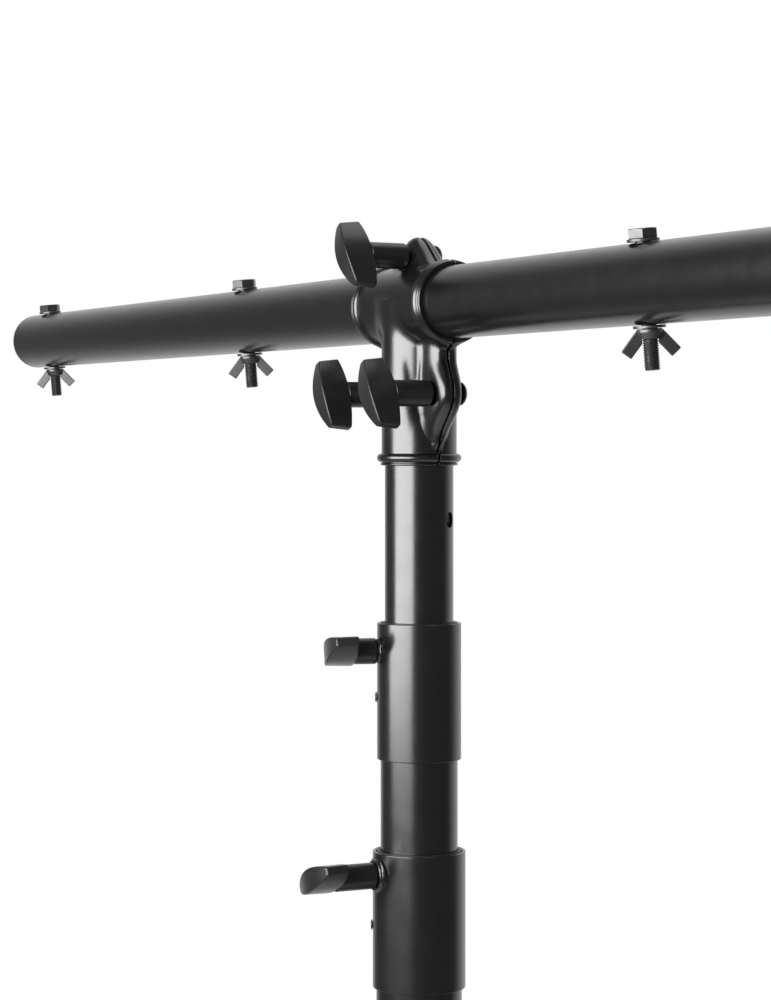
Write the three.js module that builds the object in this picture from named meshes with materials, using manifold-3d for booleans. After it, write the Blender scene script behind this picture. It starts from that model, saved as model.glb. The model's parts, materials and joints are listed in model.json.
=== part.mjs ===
// Lighting T bar stand: a tripod base with a three-stage tube mast, and a crossbar held on it by a
// two-half pressed T clamp. Millimetres, +Z up. The origin is on the floor, on the mast's axis.
// The crossbar runs along X, and the clamp's knobs point to -Y.
import * as THREE from 'three';
import { mergeVertices, toCreasedNormals } from 'three/addons/utils/BufferGeometryUtils.js';
import Module from 'manifold-3d';

const wasm = await Module();
wasm.setup();

// Clearances and cuts
const SEAT_GAP = 0.3;
const STAGE_GAP = 1;
const CUT = 4;
const DEG = Math.PI / 180;
const CREASE = 32 * DEG;

// Facets round a full turn
const TUBE_SIDES = 28;
const KNOB_SIDES = 16;
const SCREW_SIDES = 10;
const ROUND_STEPS = 5;
const KNOB_STEPS = 8;

// Mast tubes: the top tube sets the two below it
const TUBE_WALL = 2;
const TOP_TUBE_RADIUS = 24;
const SECOND_TUBE_RADIUS = TOP_TUBE_RADIUS + STAGE_GAP + TUBE_WALL;
const BASE_TUBE_RADIUS = SECOND_TUBE_RADIUS + STAGE_GAP + TUBE_WALL;
const TOP_TUBE_LENGTH = 1100;
const TOP_TUBE_CLEAR = 388;
const SECOND_TUBE_CLEAR = 181;
const CROSS_HOLE_RADIUS = 5.5;
const CROSS_HOLE_DROP = 150.2;
const CROSS_HOLE_AZIMUTH = 34 * DEG;

// Crossbar
const BAR_TUBE_GAP = 2;
const BAR_LENGTH = 1500;
const BAR_RADIUS = 25;
const BAR_ROLL = 5 * DEG;
const END_BOLT_INSET = 37;
const INNER_BOLT_SHARE = 0.376;
const BOLT_PLACES = [
  END_BOLT_INSET - BAR_LENGTH / 2, -INNER_BOLT_SHARE * BAR_LENGTH / 2,
  INNER_BOLT_SHARE * BAR_LENGTH / 2, BAR_LENGTH / 2 - END_BOLT_INSET,
];
const CAP_FLANGE = 1.5;
const CAP_DEPTH = 20;
const CAP_WALL = 2.5;

// Crossbar bolts, washers and wing nuts
const BOLT_RADIUS = 5;
const BOLT_LENGTH = 80;
const BOLT_HEAD_FLATS = 16;
const BOLT_HEAD_HEIGHT = 6.4;
const BOLT_HEAD_CHAMFER = 0.8;
const WASHER_RADIUS = 10;
const WASHER_THICKNESS = 1.8;
const NUT_HEIGHT = 6;
const NUT_TOP_RADIUS = 8;
const NUT_END_RADIUS = 6.4;
const NUT_SPAN = 35.5;
const NUT_WING_DROP = 12;
const NUT_WING_WIDTH = 7.5;
const NUT_WING_THICKNESS = 2.5;
const NUT_TURN = 62 * DEG;

// T clamp: two shells of pressed sheet, each with half of a mast collar and half of a bar collar
const CLAMP_SHEET = 2;
const CLAMP_SEAM = 0.6;
const MAST_COLLAR_DROP = 112.3;
const MAST_BEAD_FROM_END = 5.3;
const MAST_BEAD_HALF = 3.15;
const MAST_BEAD_HEIGHT = 3.3;
const BAR_COLLAR_HALF = 50;
const BAR_BEAD_FROM_END = 7;
const BAR_BEAD_HALF = 3;
const BAR_BEAD_HEIGHT = 2.3;
const BAR_RIDGE_FROM_END = 3.2;
const BAR_RIDGE_HALF = 1.6;
const BAR_RIDGE_HEIGHT = 1.5;
const LIP_WIDTH = 1.6;
const LIP_HEIGHT = 0.7;
const RIM_STEP = 0.02;
const EAR_HALF = 12.2;
const SIDE_EAR_POWER = 3.6;
const TOP_EAR_POWER = 2.9;
const EAR_FILLET = 8;
const EAR_SEAT_RADIUS = 10.4;
const SIDE_EAR_REACH = 49;
const SIDE_EAR_DROP = 62.5;
const SIDE_EAR_RISE = 25.5;
const SIDE_EAR_FALL = 32.5;
const SIDE_BOLT_PLACE = 34.6;
const WEB_REACH = 41;
const FLANGE_REACH = 30.2;
const FLANGE_HALF = 5;
const TOP_EAR_REACH = 47.5;
const TOP_EAR_SPREAD = 31;
const TOP_BOLT_RISE = 33.8;
const EAR_SPAN = 34 * DEG;
const EAR_STEPS = 4;
const BODY_STEPS = 4;
const BEAD_STEPS = 4;
const HOLLOW_STEPS = 3;

// Clamp bolts and the screws of the tube locks
const STUD_RADIUS = 4;
const DOME_RADIUS = 8.25;
const DOME_HEIGHT = 4;
const STUD_IN_HEAD = 9;

// T knob: a bar with a lens outline across a round hub, domed on its face and drafted at its ends
const KNOB_LENGTH = 53.6;
const KNOB_FACE_LENGTH = 49.6;
const KNOB_THICKNESS = 16.2;
const KNOB_TIP = 6;
const KNOB_DEPTH = 21.4;
const KNOB_END_DEPTH = 15.6;
const KNOB_BOW = 1.3;
const KNOB_EDGE = 1;
const HUB_RADIUS = 9.1;
const HUB_LENGTH = 28;
const LOWER_HUB_LENGTH = 28.5;
const SHORT_HUB_LENGTH = 14.5;
const HUB_CHAMFER = 0.8;
const TOP_KNOB_TURN = 121 * DEG;
const NEAR_KNOB_TURN = 118.6 * DEG;
const FAR_KNOB_TURN = 114 * DEG;

// Tube locks: a sleeve on the head of each outer tube, with a liner bush, a screw and a shoe
const SLEEVE_WALL = 2.2;
const SLEEVE_LENGTH = 95.3;
const SLEEVE_EDGE = 0.8;
const LINER_SEAT = 10.2;
const LINER_PROUD = 0.6;
const UPPER_SLEEVE_DROP = 222.4;
const LOWER_SLEEVE_DROP = 381.8;
const UPPER_KNOB_DROP = 19.5;
const LOWER_KNOB_DROP = 15.3;
const UPPER_KNOB_AZIMUTH = -108.4 * DEG;
const LOWER_KNOB_AZIMUTH = -92.6 * DEG;
const UPPER_KNOB_TURN = 20 * DEG;
const LOWER_KNOB_TURN = 23 * DEG;
const UPPER_BOSS_LENGTH = 1;
const UPPER_BOSS_RADIUS = 8.6;
const LOWER_BOSS_LENGTH = 3;
const LOWER_BOSS_RADIUS = 12.6;
const LOCK_HOLE_RADIUS = 5;
const SHOE_THICKNESS = 3.2;
const RIVET_DROP = 52.2;
const RIVET_AZIMUTH = -119 * DEG;
const RIVET_RADIUS = 2.4;
const RIVET_HEAD_RADIUS = 4;
const RIVET_HEAD_HEIGHT = 1.2;

// Guide bushes on the lower ends of the two sliding tubes
const GUIDE_WALL = 2.5;
const GUIDE_FLANGE = 6;
const GUIDE_SPIGOT = 18;

// Tripod: a sliding leg collar, three legs and three braces from the base hub
const LEG_COUNT = 3;
const LEG_SPREAD = 52 * DEG;
const LEG_LENGTH = 828;
const LEG_WIDTH = 22;
const LEG_DEPTH = 30;
const LEG_WALL = 2;
const LEG_PLUG = 26;
const PIVOT_RADIUS = 54;
const BRACE_LENGTH = 383;
const BRACE_WIDTH = 18;
const BRACE_BAR = 4;
const BRACE_SIDE_GAP = 1.2;
const BRACE_BUTTON_RADIUS = 7;
const BRACE_BUTTON_HEIGHT = 2.4;
const COLLAR_WALL = 7;
const COLLAR_RUN_GAP = 0.4;
const COLLAR_ABOVE = 22;
const COLLAR_BELOW = 24;
const COLLAR_EAR = 5;
const COLLAR_EAR_GAP = 0.5;
const COLLAR_EAR_RADIUS = 11;
const COLLAR_KNOB_AZIMUTH = -60 * DEG;
const COLLAR_KNOB_TURN = 90 * DEG;
const PIN_RADIUS = 4;
const PIN_HEAD_RADIUS = 7;
const PIN_HEAD_HEIGHT = 3;
const HUB_WALL = 7.2;
const HUB_FLOOR = 4.7;
const HUB_HEIGHT = 48;
const HUB_EDGE = 1.5;
const LUG_RADIUS = 10;

// Rubber feet, cut level with the floor
const FOOT_WALL = 3.5;
const FOOT_GRIP = 46;
const FOOT_PROUD = 38;
const FOOT_ROUND = 9;
const FOOT_TRIM = 6.741;

// Heights that the legs and braces set
const COLLAR_PIVOT_HEIGHT = (LEG_LENGTH + FOOT_PROUD) * Math.cos(LEG_SPREAD)
  + (LEG_DEPTH / 2 + FOOT_WALL) * Math.sin(LEG_SPREAD) - FOOT_TRIM;
const HUB_PIVOT_HEIGHT = COLLAR_PIVOT_HEIGHT - 2 * BRACE_LENGTH * Math.cos(LEG_SPREAD);
const LUG_RISE = 24.4033;
const BASE_TUBE_BOTTOM = HUB_PIVOT_HEIGHT - LUG_RISE;

// The sliding tubes stand clear of the base tube's lower end, and the top tube carries the bar
const SECOND_TUBE_BOTTOM = BASE_TUBE_BOTTOM + SECOND_TUBE_CLEAR;
const TOP_TUBE_BOTTOM = BASE_TUBE_BOTTOM + TOP_TUBE_CLEAR;
const TOP_TUBE_TOP = TOP_TUBE_BOTTOM + TOP_TUBE_LENGTH;
const BAR_HEIGHT = TOP_TUBE_TOP + BAR_TUBE_GAP + BAR_RADIUS;

const paint = new THREE.MeshStandardMaterial({ color: 0x1b1b1c, roughness: 0.42, metalness: 0.25 });
const clampPaint = new THREE.MeshStandardMaterial({ color: 0x161617, roughness: 0.26, metalness: 0.35 });
const plastic = new THREE.MeshStandardMaterial({ color: 0x1a1a1a, roughness: 0.62, metalness: 0 });
const nylon = new THREE.MeshStandardMaterial({ color: 0x101010, roughness: 0.5, metalness: 0 });
const zinc = new THREE.MeshStandardMaterial({ color: 0x1c1c1e, roughness: 0.35, metalness: 0.8 });
const rubber = new THREE.MeshStandardMaterial({ color: 0x151515, roughness: 0.85, metalness: 0 });

// Solids

function solid(geometry) {
  const bare = geometry.clone();
  bare.deleteAttribute('normal');
  bare.deleteAttribute('uv');
  const merged = mergeVertices(bare);
  const corners = merged.index.array;
  const faces = [];
  for (let i = 0; i < corners.length; i += 3) {
    const [a, b, c] = corners.slice(i, i + 3);
    if (a !== b && b !== c && c !== a) {
      faces.push(a, b, c);
    }
  }
  return new wasm.Manifold(new wasm.Mesh({
    numProp: 3,
    vertProperties: merged.attributes.position.array,
    triVerts: new Uint32Array(faces),
  }));
}

function skin(body) {
  const mesh = body.getMesh();
  const geometry = new THREE.BufferGeometry();
  geometry.setAttribute('position', new THREE.BufferAttribute(mesh.vertProperties, 3));
  geometry.setIndex(new THREE.BufferAttribute(mesh.triVerts, 1));
  return toCreasedNormals(geometry, CREASE);
}

function placed(body, matrix) {
  return body.transform(matrix.elements);
}

function moved(body, x, y, z) {
  return body.translate([x, y, z]);
}

// A turned solid about Z. The outline goes round with its outer side rising.
function turned(outline, sides) {
  const points = outline.map(([radius, height]) => new THREE.Vector2(radius, height));
  const geometry = new THREE.LatheGeometry(points, sides);
  geometry.rotateX(Math.PI / 2);
  return solid(geometry);
}

function rod(radius, low, high, sides) {
  return turned([[0, low], [radius, low], [radius, high], [0, high]], sides);
}

function edgedRod(radius, low, high, edge, sides) {
  return turned([
    [0, low], [radius - edge, low], [radius, low + edge],
    [radius, high - edge], [radius - edge, high], [0, high],
  ], sides);
}

function ring(outer, inner, low, high, sides) {
  return turned([[inner, low], [outer, low], [outer, high], [inner, high], [inner, low]], sides);
}

function edgedRing(outer, inner, low, high, edge, sides) {
  return turned([
    [inner, low], [outer - edge, low], [outer, low + edge],
    [outer, high - edge], [outer - edge, high], [inner, high], [inner, low],
  ], sides);
}

// An outline in X and Y, extruded from low to high along Z
function extruded(shape, low, high, curveSegments = ROUND_STEPS) {
  const geometry = new THREE.ExtrudeGeometry(shape, { depth: high - low, bevelEnabled: false, curveSegments });
  geometry.translate(0, 0, low);
  return solid(geometry);
}

// The frame whose Z axis points along a level direction, with X turned up from the level
function radialFrame(azimuth, turn, height) {
  const out = new THREE.Vector3(Math.cos(azimuth), Math.sin(azimuth), 0);
  const up = new THREE.Vector3(0, 0, 1);
  const level = new THREE.Vector3().crossVectors(up, out);
  const across = level.clone().multiplyScalar(Math.cos(turn)).addScaledVector(up, Math.sin(turn));
  const third = new THREE.Vector3().crossVectors(out, across);
  return new THREE.Matrix4().makeBasis(across, third, out).setPosition(0, 0, height);
}

function radial(body, azimuth, turn, height) {
  return placed(body, radialFrame(azimuth, turn, height));
}

function addPiece(parent, name, body, material) {
  const mesh = new THREE.Mesh(skin(body), material);
  mesh.name = name;
  parent.add(mesh);
  return mesh;
}

// T knob, along its own Z axis with its hub's root at zero and its bar along X

// A curve that bows from its two ends to a middle, as points from one end to the other
function bowed(half, ends, middle) {
  return Array.from({ length: KNOB_STEPS + 1 }, (_, i) => {
    const share = 2 * i / KNOB_STEPS - 1;
    return new THREE.Vector2(share * half, middle + (ends - middle) * share * share);
  });
}

function outlined(points) {
  const shape = new THREE.Shape();
  shape.setFromPoints(points);
  return shape;
}

function knobHead(root) {
  const half = KNOB_LENGTH / 2;
  const crown = bowed(half, KNOB_TIP / 2, KNOB_THICKNESS / 2);
  const section = outlined([...crown, ...crown.map(({ x, y }) => new THREE.Vector2(-x, -y))]);
  const bar = new THREE.ExtrudeGeometry(section, {
    depth: KNOB_DEPTH, bevelThickness: KNOB_EDGE, bevelSize: KNOB_EDGE,
    bevelOffset: -KNOB_EDGE, bevelSegments: 1,
  });
  bar.translate(0, 0, root - KNOB_EDGE);

  const faceHalf = KNOB_FACE_LENGTH / 2;
  const inner = bowed(half, root + KNOB_BOW, root);
  const outer = bowed(faceHalf, root + KNOB_BOW + KNOB_END_DEPTH, root + KNOB_DEPTH);
  const side = outlined([...inner, ...outer.reverse()]);
  const envelope = new THREE.ExtrudeGeometry(side, { depth: KNOB_THICKNESS, bevelEnabled: false });
  envelope.rotateX(Math.PI / 2);
  envelope.translate(0, KNOB_THICKNESS / 2, 0);
  return solid(bar).intersect(solid(envelope));
}

function knob(hubLength) {
  const hub = turned([
    [0, 0], [HUB_RADIUS - HUB_CHAMFER, 0], [HUB_RADIUS, HUB_CHAMFER],
    [HUB_RADIUS, hubLength + KNOB_BOW / 3], [HUB_RADIUS * 0.7, hubLength + KNOB_BOW],
    [HUB_RADIUS * 0.7, hubLength + KNOB_DEPTH / 2],
    [0, hubLength + KNOB_DEPTH / 2],
  ], KNOB_SIDES);
  const bore = rod(STUD_RADIUS + SEAT_GAP, -CUT, hubLength + STUD_IN_HEAD + SEAT_GAP, SCREW_SIDES);
  return knobHead(hubLength).add(hub).subtract(bore);
}

// Crossbar, with its through bolts, washers and wing nuts

function alongBar(body) {
  return placed(body, new THREE.Matrix4().makeRotationY(Math.PI / 2));
}

function crossbarTube() {
  let tube = alongBar(ring(BAR_RADIUS, BAR_RADIUS - TUBE_WALL, -BAR_LENGTH / 2, BAR_LENGTH / 2, TUBE_SIDES));
  for (const place of BOLT_PLACES) {
    const hole = rod(CROSS_HOLE_RADIUS, -BAR_RADIUS - CUT, BAR_RADIUS + CUT, SCREW_SIDES);
    tube = tube.subtract(moved(hole, place, 0, 0));
  }
  return tube;
}

function endCap() {
  const spigot = BAR_RADIUS - TUBE_WALL - SEAT_GAP;
  const cup = spigot - CAP_WALL;
  return turned([
    [0, SEAT_GAP], [cup, SEAT_GAP], [cup, -CAP_DEPTH], [spigot, -CAP_DEPTH], [spigot, SEAT_GAP],
    [BAR_RADIUS, SEAT_GAP], [BAR_RADIUS, CAP_FLANGE / 2], [BAR_RADIUS - CAP_FLANGE / 2, SEAT_GAP + CAP_FLANGE],
    [0, SEAT_GAP + CAP_FLANGE],
  ], TUBE_SIDES);
}

const WASHER_LOW = BAR_RADIUS + SEAT_GAP;
const WASHER_HIGH = WASHER_LOW + WASHER_THICKNESS;
const BOLT_SEAT = WASHER_HIGH + SEAT_GAP;

function hexBolt() {
  const corner = BOLT_HEAD_FLATS / 2 / Math.cos(Math.PI / 6);
  const hexagon = turned([[0, BOLT_SEAT], [corner, BOLT_SEAT],
    [corner, BOLT_SEAT + BOLT_HEAD_HEIGHT], [0, BOLT_SEAT + BOLT_HEAD_HEIGHT]], 6);
  const crown = turned([
    [0, BOLT_SEAT - CUT], [corner, BOLT_SEAT - CUT], [corner, BOLT_SEAT + BOLT_HEAD_HEIGHT - BOLT_HEAD_CHAMFER],
    [BOLT_HEAD_FLATS / 2, BOLT_SEAT + BOLT_HEAD_HEIGHT], [0, BOLT_SEAT + BOLT_HEAD_HEIGHT],
  ], KNOB_SIDES);
  const shank = rod(BOLT_RADIUS, BOLT_SEAT - BOLT_LENGTH, BOLT_SEAT + BOLT_HEAD_HEIGHT / 2, SCREW_SIDES);
  return hexagon.intersect(crown).add(shank);
}

function washer(low) {
  return ring(WASHER_RADIUS, BOLT_RADIUS + SEAT_GAP, low, low + WASHER_THICKNESS, KNOB_SIDES);
}

// Wing nut below its seat at zero: a tapered hub and two flat wings that flare out and down
function wingNut() {
  const hub = turned([
    [0, -NUT_HEIGHT], [NUT_END_RADIUS, -NUT_HEIGHT], [NUT_TOP_RADIUS, -NUT_HEIGHT / 3],
    [NUT_TOP_RADIUS, 0], [0, 0],
  ], SCREW_SIDES);
  const tip = NUT_WING_WIDTH / 2;
  const tipX = NUT_SPAN / 2 - tip;
  const tipZ = tip - NUT_WING_DROP;
  const lean = Math.atan2(tipZ + NUT_HEIGHT / 2, tipX - NUT_END_RADIUS);
  const wing = new THREE.Shape();
  wing.moveTo(BOLT_RADIUS + SEAT_GAP, -NUT_HEIGHT / 6);
  wing.lineTo(BOLT_RADIUS + SEAT_GAP, -NUT_HEIGHT);
  wing.absarc(tipX, tipZ, tip, lean - Math.PI / 2, lean + Math.PI / 2, false);
  const plate = new THREE.ExtrudeGeometry(wing, {
    depth: NUT_WING_THICKNESS, bevelEnabled: false, curveSegments: ROUND_STEPS,
  });
  plate.translate(0, 0, -NUT_WING_THICKNESS / 2);
  plate.rotateX(Math.PI / 2);
  const right = solid(plate);
  const left = placed(right, new THREE.Matrix4().makeRotationZ(Math.PI));
  const bore = rod(BOLT_RADIUS + SEAT_GAP, -NUT_WING_DROP - CUT, CUT, SCREW_SIDES);
  return hub.add(right).add(left).subtract(bore);
}

function addCrossbar(parent) {
  const crossbar = new THREE.Group();
  crossbar.position.z = BAR_HEIGHT;
  crossbar.rotation.x = BAR_ROLL;
  parent.add(crossbar);
  addPiece(crossbar, 'crossbar_tube', crossbarTube(), paint);
  for (const [name, side] of [['crossbar_cap_left', -1], ['crossbar_cap_right', 1]]) {
    const cap = addPiece(crossbar, name, endCap(), plastic);
    cap.rotation.y = side * Math.PI / 2;
    cap.position.x = side * BAR_LENGTH / 2;
  }
  BOLT_PLACES.forEach((place, i) => {
    const number = i + 1;
    addPiece(crossbar, `bar_bolt_${number}`, hexBolt(), zinc).position.x = place;
    addPiece(crossbar, `upper_washer_${number}`, washer(WASHER_LOW), zinc).position.x = place;
    addPiece(crossbar, `lower_washer_${number}`, washer(-WASHER_HIGH), zinc).position.x = place;
    const nut = addPiece(crossbar, `wing_nut_${number}`, wingNut(), zinc);
    nut.position.set(place, 0, -BOLT_SEAT);
    nut.rotation.z = NUT_TURN;
  });
}

// T clamp, about the crossing of the two axes

function smoothMax(a, b, blend) {
  const near = Math.max(blend - Math.abs(a - b), 0);
  return Math.max(a, b) + (near > 0 ? near * near / blend / 4 : 0);
}

function bell(share) {
  return Math.abs(share) < 1 ? (1 - share * share) ** 2 : 0;
}

function mix(from, to, share) {
  return from + (to - from) * share;
}

function superellipse(angle, reach, half, power) {
  const along = Math.abs(Math.cos(angle)) / reach;
  const across = Math.abs(Math.sin(angle)) / half;
  return (along ** power + across ** power) ** (-1 / power);
}

const MAST_BEADS = [{ centre: MAST_BEAD_FROM_END, half: MAST_BEAD_HALF, height: MAST_BEAD_HEIGHT }];
const BAR_BEADS = [
  { centre: BAR_RIDGE_FROM_END, half: BAR_RIDGE_HALF, height: BAR_RIDGE_HEIGHT },
  { centre: BAR_BEAD_FROM_END, half: BAR_BEAD_HALF, height: BAR_BEAD_HEIGHT },
];

// What a collar's rolled beads and lip stand out by, at a distance in from its open end
function rim(fromEnd, beads) {
  let height = fromEnd < LIP_WIDTH ? LIP_HEIGHT : 0;
  for (const bead of beads) {
    const share = (fromEnd - bead.centre) / bead.half;
    if (Math.abs(share) < 1) {
      height = Math.max(height, bead.height * Math.sqrt(1 - share * share));
    }
  }
  return height;
}

const MAST_COLLAR_RADIUS = TOP_TUBE_RADIUS + SEAT_GAP + CLAMP_SHEET;
const BAR_COLLAR_RADIUS = BAR_RADIUS + SEAT_GAP + CLAMP_SHEET;

function mastSkin(angle, z) {
  const fromEnd = z + MAST_COLLAR_DROP;
  const body = MAST_COLLAR_RADIUS + rim(fromEnd, MAST_BEADS);
  const above = z + SIDE_EAR_DROP;
  const swell = bell(above / (above > 0 ? SIDE_EAR_RISE : SIDE_EAR_FALL));
  const flangeStart = MAST_BEAD_FROM_END + MAST_BEAD_HALF;
  const flange = Math.min(1, Math.max(0, fromEnd / flangeStart - 1));
  const rest = above > 0 ? WEB_REACH : mix(MAST_COLLAR_RADIUS, FLANGE_REACH, flange);
  const reach = mix(rest, SIDE_EAR_REACH, swell);
  const half = above > 0 ? EAR_HALF : mix(FLANGE_HALF, EAR_HALF, Math.sqrt(swell));
  const ear = superellipse(angle, reach, half, SIDE_EAR_POWER);
  return smoothMax(body, ear, EAR_FILLET * Math.max(swell, flange / 4));
}

function barSkin(angle, x) {
  const fromEnd = BAR_COLLAR_HALF - Math.abs(x);
  const body = BAR_COLLAR_RADIUS + rim(fromEnd, BAR_BEADS);
  if (Math.cos(angle) <= 0) {
    return body;
  }
  const swell = bell(x / TOP_EAR_SPREAD);
  const reach = mix(BAR_COLLAR_RADIUS, TOP_EAR_REACH, swell);
  const ear = superellipse(angle, reach, EAR_HALF, TOP_EAR_POWER);
  return smoothMax(body, ear, Math.max(EAR_FILLET * swell, CLAMP_SEAM));
}

// Angles round a collar, closer together across its ears
function collarAngles() {
  const quarter = [];
  for (let i = 0; i < EAR_STEPS; i += 1) {
    quarter.push(EAR_SPAN * i / EAR_STEPS);
  }
  for (let i = 0; i < BODY_STEPS; i += 1) {
    quarter.push(mix(EAR_SPAN, Math.PI / 2, i / BODY_STEPS));
  }
  const half = [...quarter, Math.PI / 2, ...quarter.slice(1).reverse().map((angle) => Math.PI - angle)];
  return [...half, ...half.map((angle) => angle + Math.PI)];
}

// Places along a collar from its open end: its lip, then each bead in equal turns
function rimPlaces(beads) {
  const places = [0, LIP_WIDTH * 0.98, LIP_WIDTH];
  for (const bead of beads) {
    for (let i = 0; i <= BEAD_STEPS; i += 1) {
      places.push(bead.centre - bead.half * Math.cos(Math.PI * i / BEAD_STEPS));
    }
  }
  places.sort((a, b) => a - b);
  return places.filter((place, i) => i === 0 || place - places[i - 1] > RIM_STEP);
}

function lofted(radius, angles, stations) {
  const positions = [];
  for (const station of stations) {
    for (const angle of angles) {
      const reach = radius(angle, station);
      positions.push(reach * Math.cos(angle), reach * Math.sin(angle), station);
    }
  }
  positions.push(0, 0, stations[0], 0, 0, stations.at(-1));
  const count = angles.length;
  const low = count * stations.length;
  const high = low + 1;
  const last = count * (stations.length - 1);
  const faces = [];
  for (let i = 0; i < count; i += 1) {
    const next = (i + 1) % count;
    faces.push(low, next, i, high, last + i, last + next);
    for (let base = 0; base < last; base += count) {
      faces.push(base + i, base + next, base + count + next, base + i, base + count + next, base + count + i);
    }
  }
  const geometry = new THREE.BufferGeometry();
  geometry.setAttribute('position', new THREE.Float32BufferAttribute(positions, 3));
  geometry.setIndex(faces);
  return solid(geometry);
}

function spread(from, to, steps) {
  return Array.from({ length: steps + 1 }, (_, i) => mix(from, to, i / steps));
}

function mastHalf(hollow) {
  const bore = TOP_TUBE_RADIUS + SEAT_GAP;
  const end = hollow ? -MAST_COLLAR_DROP - CUT : -MAST_COLLAR_DROP;
  const rimZ = rimPlaces(MAST_BEADS).map((place) => place - MAST_COLLAR_DROP);
  const flangeZ = rimZ.at(-1);
  const earLow = -SIDE_EAR_DROP - SIDE_EAR_FALL;
  const steps = hollow ? HOLLOW_STEPS : EAR_STEPS;
  const body = [
    earLow,
    ...spread(earLow, -SIDE_EAR_DROP, steps).slice(1),
    ...spread(-SIDE_EAR_DROP, SIDE_EAR_RISE - SIDE_EAR_DROP, steps).slice(1),
    0,
  ];
  if (!hollow) {
    return lofted(mastSkin, collarAngles(), [...rimZ, ...body]);
  }
  const inside = (angle, z) => Math.max(bore, mastSkin(angle, Math.max(z, -MAST_COLLAR_DROP)) - CLAMP_SHEET);
  const beadless = (angle, z) => (z < flangeZ ? bore : inside(angle, z));
  return lofted(beadless, collarAngles(), [end, flangeZ, ...body]);
}

function barHalf(hollow) {
  const bore = BAR_RADIUS + SEAT_GAP;
  const rimX = rimPlaces(BAR_BEADS).map((place) => BAR_COLLAR_HALF - place);
  const bodyX = spread(TOP_EAR_SPREAD, 0, hollow ? HOLLOW_STEPS : EAR_STEPS).slice(0, -1);
  const right = hollow ? [BAR_COLLAR_HALF + CUT, ...bodyX] : [...rimX, ...bodyX];
  const stations = [...right.map((x) => -x), 0, ...right.slice().reverse()];
  const beadless = (angle, x) => (
    Math.abs(x) > TOP_EAR_SPREAD ? bore : Math.max(bore, barSkin(angle, x) - CLAMP_SHEET));
  const body = lofted(hollow ? beadless : barSkin, collarAngles(), stations);
  return placed(body, new THREE.Matrix4().makeRotationY(-Math.PI / 2));
}

const CLAMP_BOLTS = [
  { name: 'top', x: 0, z: TOP_BOLT_RISE, turn: TOP_KNOB_TURN },
  { name: 'right', x: SIDE_BOLT_PLACE, z: -SIDE_EAR_DROP, turn: NEAR_KNOB_TURN },
  { name: 'left', x: -SIDE_BOLT_PLACE, z: -SIDE_EAR_DROP, turn: FAR_KNOB_TURN },
];

// A body along Z set along -Y at a clamp bolt
function atBolt(body, bolt, turn) {
  const frame = radialFrame(-Math.PI / 2, turn, 0).setPosition(bolt.x, 0, bolt.z);
  return placed(body, frame);
}

function clampBlank() {
  let outside = mastHalf(false).add(barHalf(false));
  let inside = mastHalf(true).add(barHalf(true));
  const reach = EAR_HALF + CUT;
  for (const bolt of CLAMP_BOLTS) {
    outside = outside.add(atBolt(rod(EAR_SEAT_RADIUS, -EAR_HALF, EAR_HALF, KNOB_SIDES), bolt, 0));
    for (const [low, high] of [[EAR_HALF, reach], [-reach, -EAR_HALF]]) {
      outside = outside.subtract(atBolt(rod(EAR_SEAT_RADIUS, low, high, KNOB_SIDES), bolt, 0));
    }
    inside = inside.add(atBolt(rod(STUD_RADIUS + SEAT_GAP, -reach, reach, SCREW_SIDES), bolt, 0));
  }
  return outside.subtract(inside);
}

// The blank is whole, so each shell is what lies beyond the seam on its own side
function clampShell(blank, side) {
  return blank.trimByPlane([0, side, 0], CLAMP_SEAM / 2);
}

const EAR_FACE = EAR_HALF + SEAT_GAP;

function carriageBolt() {
  const end = EAR_FACE + HUB_LENGTH + STUD_IN_HEAD;
  const dome = turned([
    [0, -EAR_FACE - DOME_HEIGHT], [DOME_RADIUS * 0.55, -EAR_FACE - DOME_HEIGHT * 0.82],
    [DOME_RADIUS * 0.87, -EAR_FACE - DOME_HEIGHT * 0.45], [DOME_RADIUS, -EAR_FACE], [0, -EAR_FACE],
  ], KNOB_SIDES);
  return dome.add(rod(STUD_RADIUS, -EAR_FACE - DOME_HEIGHT / 4, end, SCREW_SIDES));
}

function addClamp(parent) {
  const clamp = new THREE.Group();
  clamp.position.z = BAR_HEIGHT;
  parent.add(clamp);
  const blank = clampBlank();
  addPiece(clamp, 'clamp_shell_front', clampShell(blank, -1), clampPaint);
  addPiece(clamp, 'clamp_shell_rear', clampShell(blank, 1), clampPaint);
  for (const bolt of CLAMP_BOLTS) {
    addPiece(clamp, `clamp_bolt_${bolt.name}`, atBolt(carriageBolt(), bolt, 0), zinc);
    const seated = moved(knob(HUB_LENGTH), 0, 0, EAR_FACE);
    addPiece(clamp, `clamp_knob_${bolt.name}`, atBolt(seated, bolt, bolt.turn), plastic);
  }
}

// Mast tubes, sleeves and locks

const UPPER_SLEEVE_TOP = BAR_HEIGHT - UPPER_SLEEVE_DROP;
const LOWER_SLEEVE_TOP = BAR_HEIGHT - LOWER_SLEEVE_DROP;
const SECOND_TUBE_TOP = UPPER_SLEEVE_TOP - LINER_SEAT;
const SECOND_TUBE_LENGTH = SECOND_TUBE_TOP - SECOND_TUBE_BOTTOM;
const BASE_TUBE_TOP = LOWER_SLEEVE_TOP - LINER_SEAT;

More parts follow.
